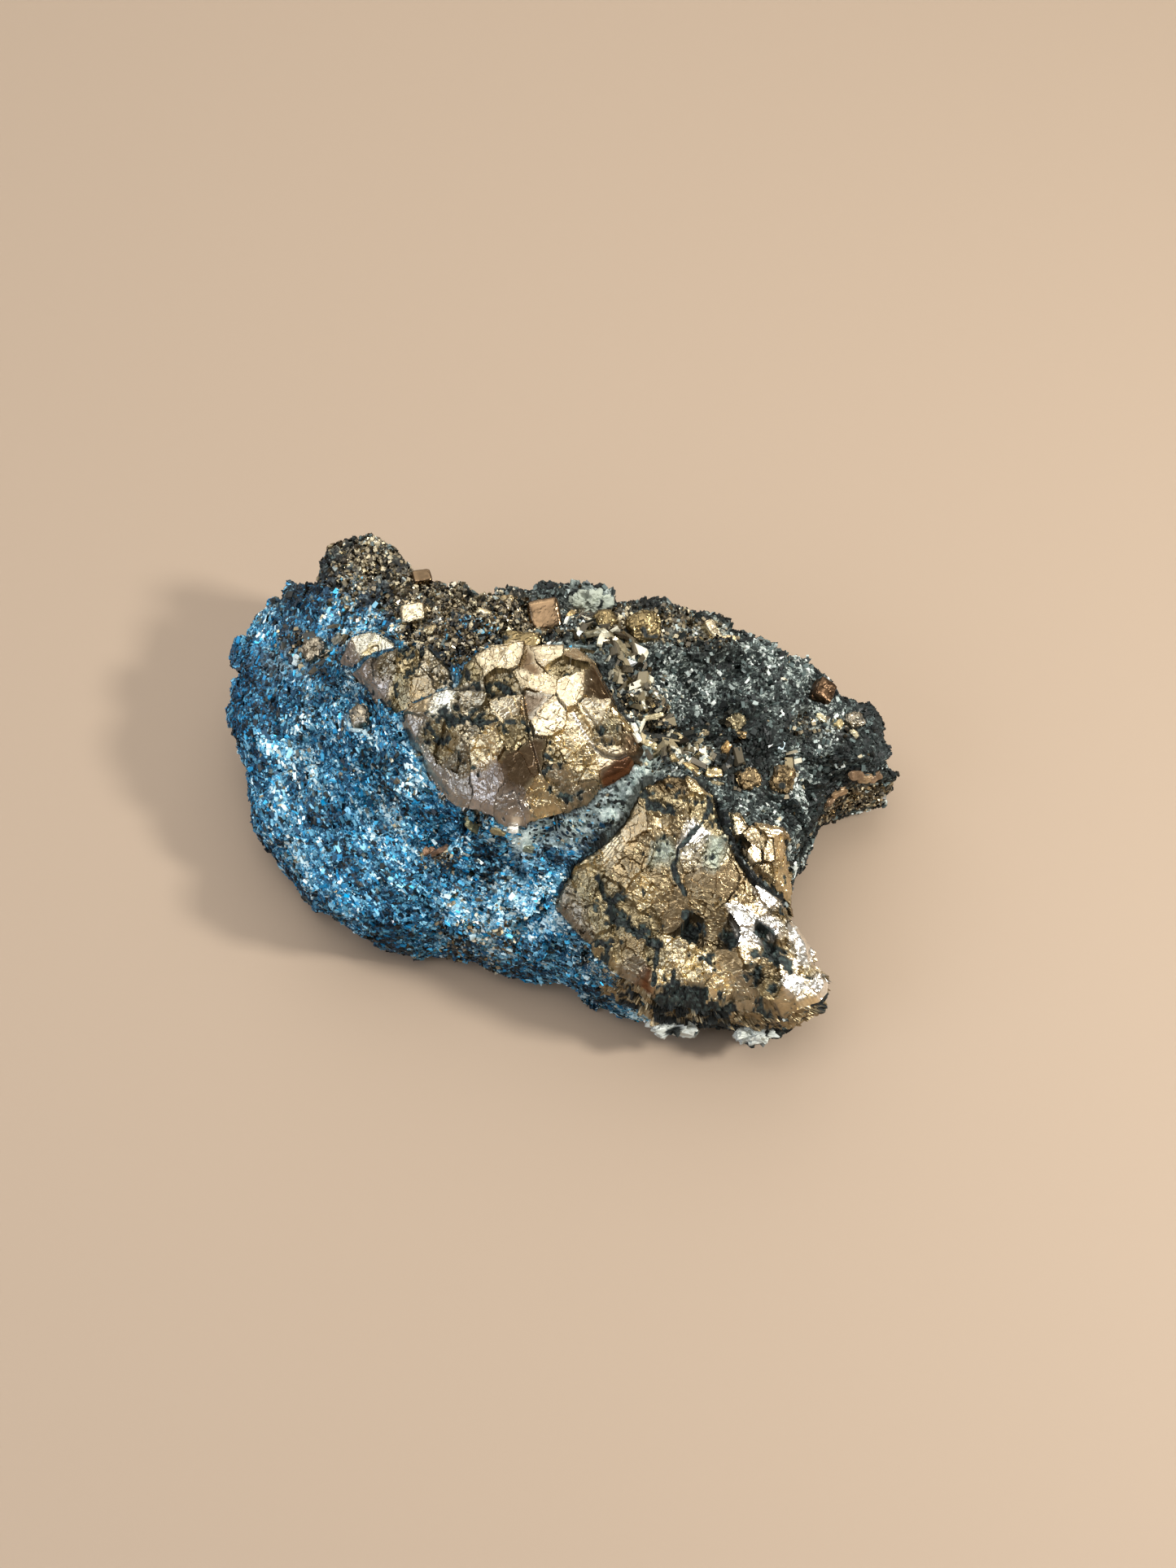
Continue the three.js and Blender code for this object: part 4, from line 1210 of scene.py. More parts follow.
        # painted highlight: thin raised edges are tinted near white
        painted_glint = np.clip(strongest(self.painted_glints, xy), 0, 1)
        shine, raised = self.PAINTED_GLINT
        width, drop = self.ROUNDING
        worn = drop * (1 - smooth(0, width, -outline_distance(xy, self.outline))) ** 2
        lower, *lumps = self.CHLORITE_DEPTH
        height = level - self.of_kind(plate, "sink") - worn
        height += facets * hackle + ridges - crack_depth * crack - lower * chlorite
        height += chlorite * swells(0, space, tuple(lumps)) + raised * painted_glint
        drawn = 2 * hashed(plate, plate * 0.0, plate * 0.0 + 5, 98) - 1
        brightness = 1 + self.of_kind(plate, "spread") * drawn
        flecks = speckle(space + 0.4 * swell(space, 0.9, 107)[:, None], *self.FLECK) - 0.5
        brightness *= swells(1, space, (0.1, 1.2, 99)) + self.FLECKED * np.minimum(hackle, 1.5) * flecks
        tint = toward(self.tint(plate), self.tint(other), ease) * brightness[:, None]
        dark, pale = (linear(colour) for colour in self.CHLORITE)
        grains = dark + (pale - dark) * speckle(even, *self.SPECK)[:, None] ** 3
        tint = toward(toward(tint, grains, chlorite), linear(shine), painted_glint)
        # painted shade: cracks, which are also cut into the relief, are darkened
        tint = tint * (1 - 0.8 * np.clip(crack, 0, 1))[:, None]
        rough = self.of_kind(plate, "rough") + self.dull
        rough = rough + (DIRTY_ROUGH - rough) * chlorite
        return height, {"tint": tint, "rough": rough, "metal": (1 - chlorite) * (1 - 0.5 * crack)}

    def blurred(self, quality: str, plate: Array, other: Array, ease: Array) -> Array:
        """A quality of each point's plate, running into the next one's by its ease, 0 to a half."""
        own = self.of_kind(plate, quality)
        return own + (self.of_kind(other, quality) - own) * ease

    def tint(self, plate: Array) -> Array:
        """Linear tint of the kind of each point's plate."""
        return np.array([linear(row[5].value.tint) for row in self.plates])[plate]

    def surface(self) -> Surface:
        """The whole closed surface: top, rows of broken sides down from its edge, and a flat foot."""
        numbers, angles, faces = ring_sheet(self.rings)
        away = np.stack([np.cos(angles), np.sin(angles)], axis=1)
        circle = np.column_stack([away * self.RAGGED_REACH, angles * 0])
        reach = swells(outline_radius(self.outline, self.centre, angles), circle, self.RAGGED)
        xy = self.centre + (numbers / self.rings * reach)[:, None] * away
        z, values = self.top(xy)
        points = np.column_stack([xy, z])
        count = 8 * self.rings
        edge = np.arange(len(points) - count, len(points))
        look, row, walls = self.side.value, edge, []
        for n, share in enumerate(np.linspace(0, 1, self.WALL_ROWS + 1)[1:]):
            level = points[edge].copy()
            level[:, 2] += (self.foot - level[:, 2]) * share
            push = look.hackle * sum(chip(level, *one) for one in self.WALL_CHIPS)
            push -= self.WALL_HOLLOW * math.sin(share * 3)
            level[:, :2] += push[:, None] * away[edge]
            walls.append(level)
            below = len(points) + n * count + np.arange(count)
            faces = np.concatenate([faces, band(row, below)])
            row = below
        middle = len(points) + self.WALL_ROWS * count
        foot = np.stack([np.full(count, middle), np.roll(row, -1), row], axis=1)
        rows = np.concatenate([points, *walls, [[*self.centre, self.foot]]])
        faces = np.concatenate([faces, foot])
        return Surface(rows, faces, self.with_sides(values, rows[len(points):]))

    def with_sides(self, values: Values, sides: Array) -> Values:
        """The top's finish followed by that of the broken sides.

        Args:
            values: the top's finish
            sides: the sides' points, mm

        Returns:
            The finish of both, in that order.
        """
        look = self.side.value
        share = np.maximum(look.chlorite, strongest(self.stains, sides[:, :2]))
        chlorite = patches(swells(0.5, sides, *self.SIDE_COVER), share, 0.04)
        shade = swells(1, sides, (0.3, 0.9, 103)) + 0.3 * (speckle(sides, 0.5, 104) - 0.5)
        tint = toward(linear(look.tint) * shade[:, None], linear((18, 25, 25)), chlorite)
        rough = look.rough + self.dull
        rough = rough + (DIRTY_ROUGH - rough) * chlorite
        return {
            "tint": np.concatenate([values["tint"], tint]),
            "rough": np.concatenate([values["rough"], rough]),
            "metal": np.concatenate([values["metal"], 1 - chlorite]),
        }


UPPER = Crystal(
    name="pyrite_crystal_upper",
    centre=(-3.5, -1),
    foot=15,
    rings=104,
    dull=0.03,
    cracked=0.2,
    side=Kind.SCALY,
    outline=(
        (-18.5, 2), (-17, 3.2), (-14.3, 3.8), (-11.8, 4.3), (-11.2, 6.4), (-9.6, 8.1), (-7.7, 8.7), (-4, 8.4),
        (1, 8.2), (2.8, 8.4), (4, 6), (5.4, 3.3), (6.5, 1.5), (7.4, 0), (8.6, -1.2), (9.3, -2.3),
        (10.3, -3.7), (10, -5.4), (8.6, -7.2), (6.8, -8), (5.1, -8.5), (4.5, -9.5), (2.8, -10.2),
        (0.8, -10.6), (-2, -10.9), (-3.8, -11.7), (-6.2, -11.5), (-7.6, -10.8), (-9, -10), (-11.2, -9),
        (-12.8, -7.7), (-14.4, -5.6), (-15.9, -3.5), (-17, -1.6), (-17.9, 0.2),
    ),
    faces=(
        (0, 3, 33, 0.06, -0.1), (0, -3, 31.5, 0.04, 0.55), (-9, 3, 30.6, 0.36, 0.12),
        (7, -1, 31.6, -0.75, 0.1), (-15.5, -3, 25, 0.8, 0.7), (-2, 8, 31.6, 0, -0.7),
        (-5, -9.8, 26.6, 0, 1.2),
    ),
    plates=(
        (-17, 0.5, 0, 0, -0.1, Kind.BEVEL), (-16, -3, 0.1, 0, 0, Kind.BEVEL),
        (-13, -6, 0, 0, 0.05, Kind.BEVEL), (-11.5, -8, 0, -0.05, 0, Kind.BEVEL),
        (-8.5, -10, 0, 0, 0.1, Kind.MAUVE), (-5.5, -10.5, 0.2, 0, 0.1, Kind.MAUVE),
        (-16, 2.5, 0, 0.1, -0.1, Kind.TAN), (-13.5, 2, 0.2, 0, 0.1, Kind.SILVER),
        (-14.5, -1, 0.25, -0.1, 0.1, Kind.OLIVE), (-12.5, -2, -0.4, 0.15, 0, Kind.CHLORITE),
        (-10, -2, 0.1, 0, 0.1, Kind.DULL), (-8.5, -1, -0.4, 0, -0.1, Kind.CHLORITE),
        (-8.5, -4.5, 0.2, -0.1, -0.05, Kind.ROUGH), (-11.5, -4.5, 0.1, 0.1, 0.1, Kind.DULL),
        (-10.5, 1.5, 0.1, 0.1, 0.2, Kind.DULL), (-5.5, 0, 0, 0.1, 0, Kind.BRIGHT),
        (-4.2, -2.8, -0.3, -0.1, 0.1, Kind.CHLORITE), (-4.2, -7, -0.2, 0.1, 0.15, Kind.MIRROR),
        (-8.4, -7.7, 0, 0.1, 0.1, Kind.MAUVE), (-10.5, 6, -0.4, 0.2, 0, Kind.OLIVE),
        (-7.5, 7, 0, 0, -0.15, Kind.BRIGHT), (-5, 6, 0.3, -0.1, 0, Kind.BRIGHT),
        (-3, 5.5, -0.2, 0.25, 0.2, Kind.MIRROR), (-1, 6.5, 0.3, 0.1, -0.1, Kind.BRIGHT),
        (1, 4, -0.3, 0, 0.1, Kind.CHLORITE), (2.5, 6.5, 0.3, -0.1, -0.1, Kind.BRIGHT),
        (-5.5, 3, -0.6, 0.1, 0.1, Kind.CHLORITE), (-4, 3.5, 0.1, 0.1, -0.1, Kind.BRIGHT),
        (-1.5, 2, 0, -0.1, 0, Kind.BRIGHT), (-2.5, 0, -0.3, 0.1, 0.25, Kind.MIRROR),
        (2, 1, 0.6, 0, 0.1, Kind.BRIGHT), (5, 1, 0.1, 0, 0.05, Kind.MIRROR),
        (-1, -2, 0.3, 0.1, -0.2, Kind.BRIGHT), (1, -5, 0.1, 0, 0, Kind.ROUGH),
        (3, -7, 0.3, -0.1, 0.1, Kind.ROUGH), (2.5, -3, -0.1, -0.2, 0, Kind.STRIATED),
        (6, -3.5, 0.5, 0.2, 0.15, Kind.OLIVE), (4.5, -1.5, 0.7, 0.1, 0, Kind.BRIGHT),
        (8, -1.5, 0, 0.1, 0, Kind.ROUGH), (9, -4, -0.3, 0, 0.2, Kind.MIRROR),
        (7, -7, -0.3, 0, 0.25, Kind.RED), (6, -5.5, -0.3, 0, -0.1, Kind.BRIGHT),
        (-2.6, -5.4, -0.2, 0.1, 0.15, Kind.MIRROR), (0, -5.6, -0.3, 0, 0.1, Kind.CHLORITE),
        (0.5, -8, 0, 0.1, 0.2, Kind.DULL), (3, -9, 0.2, 0, 0.15, Kind.DULL),
        (-1.5, -9.5, 0, 0.1, 0.1, Kind.ROUGH),
    ),
    cracks=(
        Mark(((-16.6, 3.2), (-15.2, 4), (-12.8, 3.7), (-8.5, 2.5), (-3.8, 1.5)), 0.24, 1.2),
        Mark(((-3.8, 1.5), (-3, -3.5), (-1.5, -8)), 0.1, 0.7),
        Mark(((4.5, -4.7), (5.7, -5.5), (7.4, -5.9), (9.3, -5.2), (10.2, -4.6)), 0.24, 1.6),
        Mark(((3.2, -1), (4.8, -3.1), (6.1, -4.8)), 0.13, 0.9),
        Mark(((-6.5, -9.5), (-4.7, -9), (-3.9, -10.5)), 0.12, 0.8),
    ),
    stains=(
        Mark(((-15.5, 4.6), (-13, 6)), 1.2, 0.5), Mark(((-13.4, 1.1), (-11.6, -1.2), (-12.4, -2)), 0.9, 0.74),
        Mark(((-9.3, -0.9), (-7.2, -1.3)), 0.8, 0.8), Mark(((-6.7, 3.5), (-5, 2)), 0.7, 0.85),
        Mark(((-0.9, -5.6), (0.7, -6.6)), 0.45, 0.8), Mark(((-0.6, -8.8), (2, -9.6), (4.4, -8.6)), 0.7, 0.5),
    ),
    painted_glints=(
        Mark(((2.1, -1.5), (3.7, -3.7), (4.9, -5.2)), 0.16), Mark(((-4.8, -11.2), (-4.4, -11.3)), 0.34),
    ),
)

LOWER = Crystal(
    name="pyrite_crystal_lower",
    centre=(15, -20),
    foot=7.2,
    rings=112,
    dull=0.08,
    cracked=0.05,
    side=Kind.GRANULAR,
    outline=(
        (0, -18), (1, -16.2), (1.8, -14.8), (3.6, -13.9), (5.2, -13.1), (6.8, -12.1), (8, -11), (8.6, -9.6),
        (9.6, -8.3), (10.8, -7.2), (13.7, -6.3), (16.6, -6.9), (18.7, -8.5), (19.6, -10.8), (20.3, -13.4),
        (21.8, -15.5), (23, -16.9), (24.8, -17.5), (27, -18.6), (27.2, -20), (28.6, -21.2), (30, -22.7),
        (30.3, -24.4), (31.3, -25.5), (32.2, -26.4), (32.2, -27.6), (31.1, -28.8), (29, -29.7), (27, -30.6),
        (25.2, -30.3), (22.3, -30), (15.8, -29.8), (12, -29.5), (10.8, -28.7), (10.1, -28.2), (8.2, -27.3),
        (5.9, -25.8), (4.3, -24.3), (2.5, -22.3), (1, -20.5), (0.1, -19.2),
    ),
    faces=(
        (13, -17, 22.3, 0.05, 0.58), (3, -18, 19.6, 0.45, 0.35), (21.6, -24, 18.7, -0.5, 0.4),
        (13.5, -8, 26.6, -0.02, 0.1), (15, -29.3, 14, 0, 1.6), (19, -12, 24.6, -0.4, 0.2),
    ),
    plates=(
        (1, -18.5, 0, 0.1, 0, Kind.SCALY), (3, -16.5, -0.2, 0.1, 0, Kind.CHLORITE),
        (3.5, -14.5, 0, 0, -0.2, Kind.ROUGH), (6.5, -13.5, 0.1, 0.1, -0.1, Kind.STRIATED),
        (9, -12.2, 0.15, 0, 0, Kind.SATIN), (10, -14.6, 0.1, 0.1, -0.1, Kind.BRONZE),
        (12.5, -10, -0.3, 0, 0, Kind.CHLORITE), (13.5, -7.5, 0.1, 0, 0, Kind.BROWN),
        (17.5, -7, 0, -0.2, -0.1, Kind.ROUGH), (12, -12.3, 0.1, -0.1, 0, Kind.BRONZE),
        (14.5, -13, 0, -0.1, 0, Kind.BRONZE), (15.7, -13.7, 0.6, 0.04, -0.28, Kind.GLARE),
        (16.4, -15, 0, 0, 0, Kind.DULL), (12.5, -15, -0.1, 0.1, 0, Kind.PALE),
        (18, -15.5, 0.2, 0, 0, Kind.PALE), (20.4, -17.6, 0.2, 0.2, 0.25, Kind.SATIN),
        (17.5, -11, -0.4, 0, 0.1, Kind.CHLORITE), (21.2, -16, 0, -0.05, 0, Kind.BRONZE),
        (22, -18.5, -0.2, -0.2, 0, Kind.BRONZE), (12.8, -17.1, 0.1, 0, -0.1, Kind.BRONZE),
        (17.4, -17.2, 0.1, 0.1, 0.05, Kind.SATIN), (7.5, -17, 0.2, 0, 0, Kind.BRONZE),
        (3.5, -18.1, 0.2, 0, 0, Kind.OLIVE), (2, -20, 0, 0, 0, Kind.SCALY),
        (2.5, -22.5, 0, 0, 0.1, Kind.SCALY), (5, -21, 0.3, 0.1, 0, Kind.OLIVE),
        (6, -18.5, -0.5, 0, 0, Kind.CHLORITE), (8, -21.5, -0.6, 0, 0, Kind.CHLORITE),
        (11, -21.5, -0.5, 0.1, 0, Kind.CHLORITE), (10, -19, 0.1, 0, 0, Kind.ROUGH),
        (12.3, -19.8, 0.2, 0, 0.1, Kind.BRONZE), (14, -21.1, 0.3, 0.05, 0.1, Kind.SATIN),
        (17.2, -20.4, 0.2, 0, 0, Kind.BRONZE), (15.5, -22.5, -1.3, 0, 0, Kind.PIT),
        (18.5, -22.5, 0.3, 0, 0.2, Kind.BRONZE), (20.5, -23.5, -0.5, 0, 0, Kind.PIT),
        (9, -24.5, 0.3, 0.1, 0, Kind.BRONZE), (6, -25, -0.3, 0.1, 0.1, Kind.CHLORITE),
        (9, -27, 0, 0.1, 0.2, Kind.SCALY), (11.6, -25.4, -0.3, 0, 0, Kind.OLIVE),
        (14.2, -25, 0.2, 0, -0.2, Kind.GLITTER), (16.6, -26.6, 0.2, 0, -0.1, Kind.GLITTER),
        (20.4, -25.8, 0.1, 0, 0, Kind.SATIN), (19.2, -28.4, 0, 0, -0.2, Kind.GLITTER),
        (22.1, -28.4, 0, 0.1, 0, Kind.DULL), (10.4, -28.1, 0, 0.1, 0.1, Kind.RED),
        (13.2, -29.4, -0.2, 0, 0, Kind.SPARKLE), (12.9, -27.4, 0, 0, -0.1, Kind.GLITTER),
        (16.2, -29.6, -0.2, 0, 0, Kind.SPARKLE), (19.5, -29.8, -0.2, 0, 0, Kind.SPARKLE),
        (24.7, -18.9, 0.4, 0.02, -0.02, Kind.GLARE), (22.2, -21.8, 0.2, -0.02, 0, Kind.GLARE),
        (23.4, -20, -0.1, 0, 0.1, Kind.TAN), (22.6, -23.4, 0.1, 0, 0.03, Kind.GLARE),
        (25.8, -20.3, -0.4, 0, 0, Kind.GRANULAR), (25, -21.7, 0.3, 0, 0, Kind.GLARE),
        (28.6, -22.4, 0.3, -0.03, 0, Kind.GLARE), (24.4, -23.1, -0.6, 0, 0, Kind.PIT),
        (23, -24.8, 0, -0.1, 0, Kind.STRIATED), (26.8, -23.7, 0, 0.1, 0, Kind.GRANULAR),
        (29.3, -24.2, 0.2, -0.02, 0.02, Kind.GLARE), (25.3, -25.9, -0.4, 0, 0.1, Kind.GRANULAR),
        (27.2, -25.3, 0.2, 0, 0, Kind.BRIGHT), (29.6, -25.9, 0.1, 0, 0, Kind.ROUGH),
        (31, -27.2, 0.5, 0, 0.02, Kind.GLARE), (28.1, -27.8, 0.2, 0, 0.03, Kind.GLARE),
        (23.6, -27, -0.4, 0, 0.1, Kind.PIT), (25, -28.2, -0.3, 0, 0.1, Kind.CHLORITE),
        (26.7, -29.5, 0, 0, 0.1, Kind.STRIATED), (29.6, -29.2, 0.2, 0, 0.1, Kind.STRIATED),
        (25.4, -30.6, -0.8, 0, 0.5, Kind.GRANULAR), (27.3, -30.9, -0.6, 0, 0.6, Kind.GRANULAR),
    ),
    stains=(
        Mark(((5, -16.8), (5.6, -18.6), (6.6, -20), (6.8, -21.2), (8.2, -22), (10.1, -23.2)), 0.62, 0.92),
        Mark(((10.1, -23.2), (12.2, -24.1)), 0.62, 0.92),
        Mark(((12, -29.8), (15.8, -30.1), (20, -30.3)), 1.1, 0.85),
        Mark(((12, -24.3), (11.6, -26.3), (11.4, -28.2)), 0.5, 0.7),
        Mark(((9.2, -20.6), (8.4, -21.8)), 0.6, 0.7), Mark(((11.2, -9.8), (13.6, -10.6)), 0.8, 0.75),
        Mark(((17.8, -10.6), (16.6, -12.4), (14.3, -14.8)), 0.42, 0.85),
        Mark(((14.3, -14.8), (13.7, -16.2), (14.3, -17.9), (15.1, -19.2)), 0.42, 0.85),
        Mark(((15.1, -21.2), (16.2, -23.4)), 0.5, 0.9),
        Mark(((4.5, -14.7), (2.9, -16.2), (2.4, -18.3)), 0.6, 0.5),
        Mark(((23.4, -26.5), (23.4, -28.3)), 0.7, 0.7), Mark(((24.8, -24.5), (26.9, -25.6)), 0.9, 0.75),
        Mark(((23.2, -25),), 0.6, 0.8),
    ),
)

RIGHT = Crystal(
    name="pyrite_crystal_right",
    centre=(24, -14),
    foot=11,
    rings=56,
    side=Kind.GRANULAR,
    outline=(
        (20.2, -10), (21.6, -9.8), (22.6, -11), (24.5, -10.7), (26.8, -10.6), (27.6, -11.5), (27.4, -13),
        (27.6, -15), (28, -16.8), (27.6, -18.2), (26.6, -18.1), (24.7, -17.2), (23.3, -16.6), (22.2, -15.3),
        (20.8, -13.4), (20.4, -11.7),
    ),
    faces=(
        (23.5, -13.5, 22.6, -0.5, 0.15), (27, -15, 19.8, -1.1, 0.3),
    ),
    plates=(
        (21, -10.8, 0, 0, 0.2, Kind.STRIATED), (25, -11.3, 0.8, 0, -0.1, Kind.STRIATED),
        (23.7, -12.9, 0.3, 0, 0, Kind.TAN), (25, -14.1, 0.7, -0.1, 0.1, Kind.TAN),
        (26.5, -14.1, 0.2, -0.3, 0, Kind.ROUGH), (21.5, -14.1, -0.8, 0, 0, Kind.PIT),
        (23, -14.7, 0, 0.1, 0.1, Kind.TAN), (24.1, -16.4, -0.3, 0, 0.2, Kind.BRONZE),
        (26.6, -16.7, 0, -0.2, 0.3, Kind.ROUGH),
    ),
)

LEFT_TOP = Crystal(
    name="pyrite_block_left_top",
    centre=(-22.6, 13.4),
    foot=14,
    rings=48,
    side=Kind.MAUVE,
    outline=(
        (-27, 12.9), (-26.2, 14.5), (-25.2, 15.6), (-23.2, 15.9), (-20.8, 14.5), (-19.2, 12.6), (-19.9, 11.8),
        (-21.7, 11.8), (-23.4, 11.4), (-25.2, 10.7),
    ),
    faces=(
        (-21, 12.5, 24.2, 0.3, -0.05), (-25.8, 12.5, 22.1, 0.95, 0.2),
    ),
    plates=(
        (-26.2, 12.4, 0, 0, 0, Kind.MAUVE), (-23.2, 13.8, 0.2, 0.05, -0.1, Kind.SILVER),
        (-20.5, 13.4, 0, -0.1, -0.15, Kind.SILVER), (-22.2, 12.2, 0.1, 0, 0.1, Kind.ROUGH),
    ),
)

LEFT_LOWER = Crystal(
    name="pyrite_block_left_lower",
    centre=(-18.5, 7.4),
    foot=14,
    rings=60,
    side=Kind.MAUVE,
    outline=(
        (-25.1, 10.3), (-23.4, 11), (-21.7, 11.4), (-19.7, 11.4), (-18.8, 12.2), (-17.4, 11.9), (-15.2, 10.9),
        (-13.4, 8.8), (-11.8, 5.8), (-12.3, 4.5), (-14.2, 4), (-16.7, 3.5), (-18.5, 2.4), (-20.2, 4),
        (-21.6, 5.8), (-22.9, 7.5),
    ),
    faces=(
        (-18, 8, 26, 0.4, 0.1), (-22.8, 8, 23.4, 0.8, 0.45),
    ),
    plates=(
        (-24, 9.4, 0, 0, 0, Kind.MAUVE), (-21.8, 6.3, 0, 0, 0.1, Kind.MAUVE),
        (-20.6, 9.4, 0.2, 0.1, 0.1, Kind.DULL), (-18.9, 5.8, 0.1, 0.1, 0.2, Kind.OLIVE),
        (-17.6, 9.2, -0.3, 0, 0, Kind.CHLORITE), (-15.2, 8.8, 0.2, -0.1, 0, Kind.DULL),
        (-13.3, 6.4, 0, -0.2, 0.1, Kind.DULL), (-15.7, 5.3, 0.1, 0, 0.15, Kind.TAN),
    ),
)

CRYSTALS = (UPPER, LOWER, RIGHT, LEFT_TOP, LEFT_LOWER)


# ---- the small crystals


@dataclass(frozen=True)
class SmallCrystal:
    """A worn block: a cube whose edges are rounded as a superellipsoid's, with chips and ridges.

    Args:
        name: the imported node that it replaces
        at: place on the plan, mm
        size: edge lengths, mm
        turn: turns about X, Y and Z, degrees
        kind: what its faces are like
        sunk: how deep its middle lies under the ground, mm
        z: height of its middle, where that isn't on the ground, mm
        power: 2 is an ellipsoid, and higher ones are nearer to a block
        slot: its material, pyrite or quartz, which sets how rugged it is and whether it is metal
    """

    name: str
    at: tuple[float, float]
    size: tuple[float, float, float]
    turn: tuple[float, float, float]
    kind: Kind
    sunk: float = 0.0
    z: float | None = None
    power: float = 6.0
    slot: str = "pyrite"

    STEPS = 22  # squares along an edge
    CHIPS = ((1.1, 0.1, 111), (0.5, 0.1, 112))
    CRUST = 3  # how many times more rugged quartz is
    LUMPS = (0.16, 1.7, 116)
    STRIA = 0.3  # spacing of parallel ridges, mm
    SHADE, COVER = (0.25, 0.8, 113), (0.4, 1.1, 115)
    SPECK, SPECKED = (0.45, 114), 0.2
    CHLORITE, CHLORITE_ROUGH = (24, 30, 28), 0.3  # its colour, and how much rougher it is

    def middle(self, rim: Rim) -> float:
        """Height of its middle, mm."""
        return ground(rim, *self.at) - self.sunk if self.z is None else self.z

    def surface(self, rim: Rim) -> Surface:
        """The closed surface in its place, turned about Z first, then Y, then X.

        Args:
            rim: the lump's rim

        Returns:
            The surface with its finish.
        """
        look = self.kind.value
        shape, faces = worn_block(self.STEPS, self.size, self.power)
        own = shape + 31.0 * (self.at[0] + self.at[1])  # so that no two have the same noise
        rugged = self.CRUST if self.slot == "quartz" else 1
        amount, *lumps = self.LUMPS
        push = rugged * look.hackle * sum(chip(own, *one) for one in self.CHIPS)
        push = swells(push, own, ((rugged - 1) * amount, *lumps))
        push += look.stria * np.abs(np.mod(shape[:, 0] / self.STRIA, 1) - 0.5)
        turn_x, turn_y, turn_z = (Euler(row).to_matrix() for row in np.diag(np.radians(self.turn)))
        spin = np.array(turn_x @ turn_y @ turn_z)
        points = pushed_out(shape, push) @ spin.T + [*self.at, self.middle(rim)]
        shade = swells(1, own, self.SHADE) + self.SPECKED * (speckle(own, *self.SPECK) - 0.5)
        chlorite = patches(swells(0.5, own, self.COVER), look.chlorite, 0.04)
        tint = toward(linear(look.tint) * shade[:, None], linear(self.CHLORITE), chlorite)
        rough = look.rough + self.CHLORITE_ROUGH * chlorite
        metal = (1 - chlorite) * (self.slot == "pyrite")
        return Surface(points, faces, {"tint": tint, "rough": rough, "metal": metal})


def cube_grid(steps: int) -> tuple[Array, Array]:
    """A cube from -1 to 1 whose sides are joined at its edges.

    Args:
        steps: squares along an edge

    Returns:
        Its points, and triangles facing outward.
    """
    line = np.linspace(-1, 1, steps + 1)
    u, v = (row.ravel() for row in np.meshgrid(line, line, indexing="ij"))
    corner = np.arange((steps + 1) ** 2).reshape(steps + 1, steps + 1)
    a, b, c, d = (corner[:-1, :-1], corner[1:, :-1], corner[1:, 1:], corner[:-1, 1:])
    square = np.concatenate([np.stack([p.ravel() for p in t], axis=1) for t in ((a, b, c), (a, c, d))])
    points, faces = [], []
    for axis in range(3):
        for sign in (-1, 1):
            side = np.zeros((len(u), 3))
            side[:, axis], side[:, (axis + 1) % 3], side[:, (axis + 2) % 3] = sign, u, v
            faces.append((square if sign > 0 else square[:, ::-1]) + len(points) * len(u))
            points.append(side)
    joined, index = np.unique(np.round(np.concatenate(points), 6), axis=0, return_inverse=True)
    return joined, index.ravel()[np.concatenate(faces)]


def worn_block(steps: int, size: Sequence[float], power: float) -> tuple[Array, Array]:
    """A block with rounded edges: the cube's points brought to |x|^power + |y|^power + |z|^power = 1.

    Args:
        steps: squares along an edge
        size: edge lengths, mm
        power: 2 is an ellipsoid, and higher ones are nearer to a block

    Returns:
        Its points round the origin, mm, and its triangles.
    """
    unit, faces = cube_grid(steps)
    norm = np.sum(np.abs(unit) ** power, axis=1) ** (1 / power)
    return unit / norm[:, None] * np.array(size) / 2, faces


def pushed_out(shape: Array, push: Array) -> Array:
    """Points of a shape round the origin moved away from it by each one's push, mm."""
    return shape * (1 + push / np.maximum(np.linalg.norm(shape, axis=1), 0.3))[:, None]


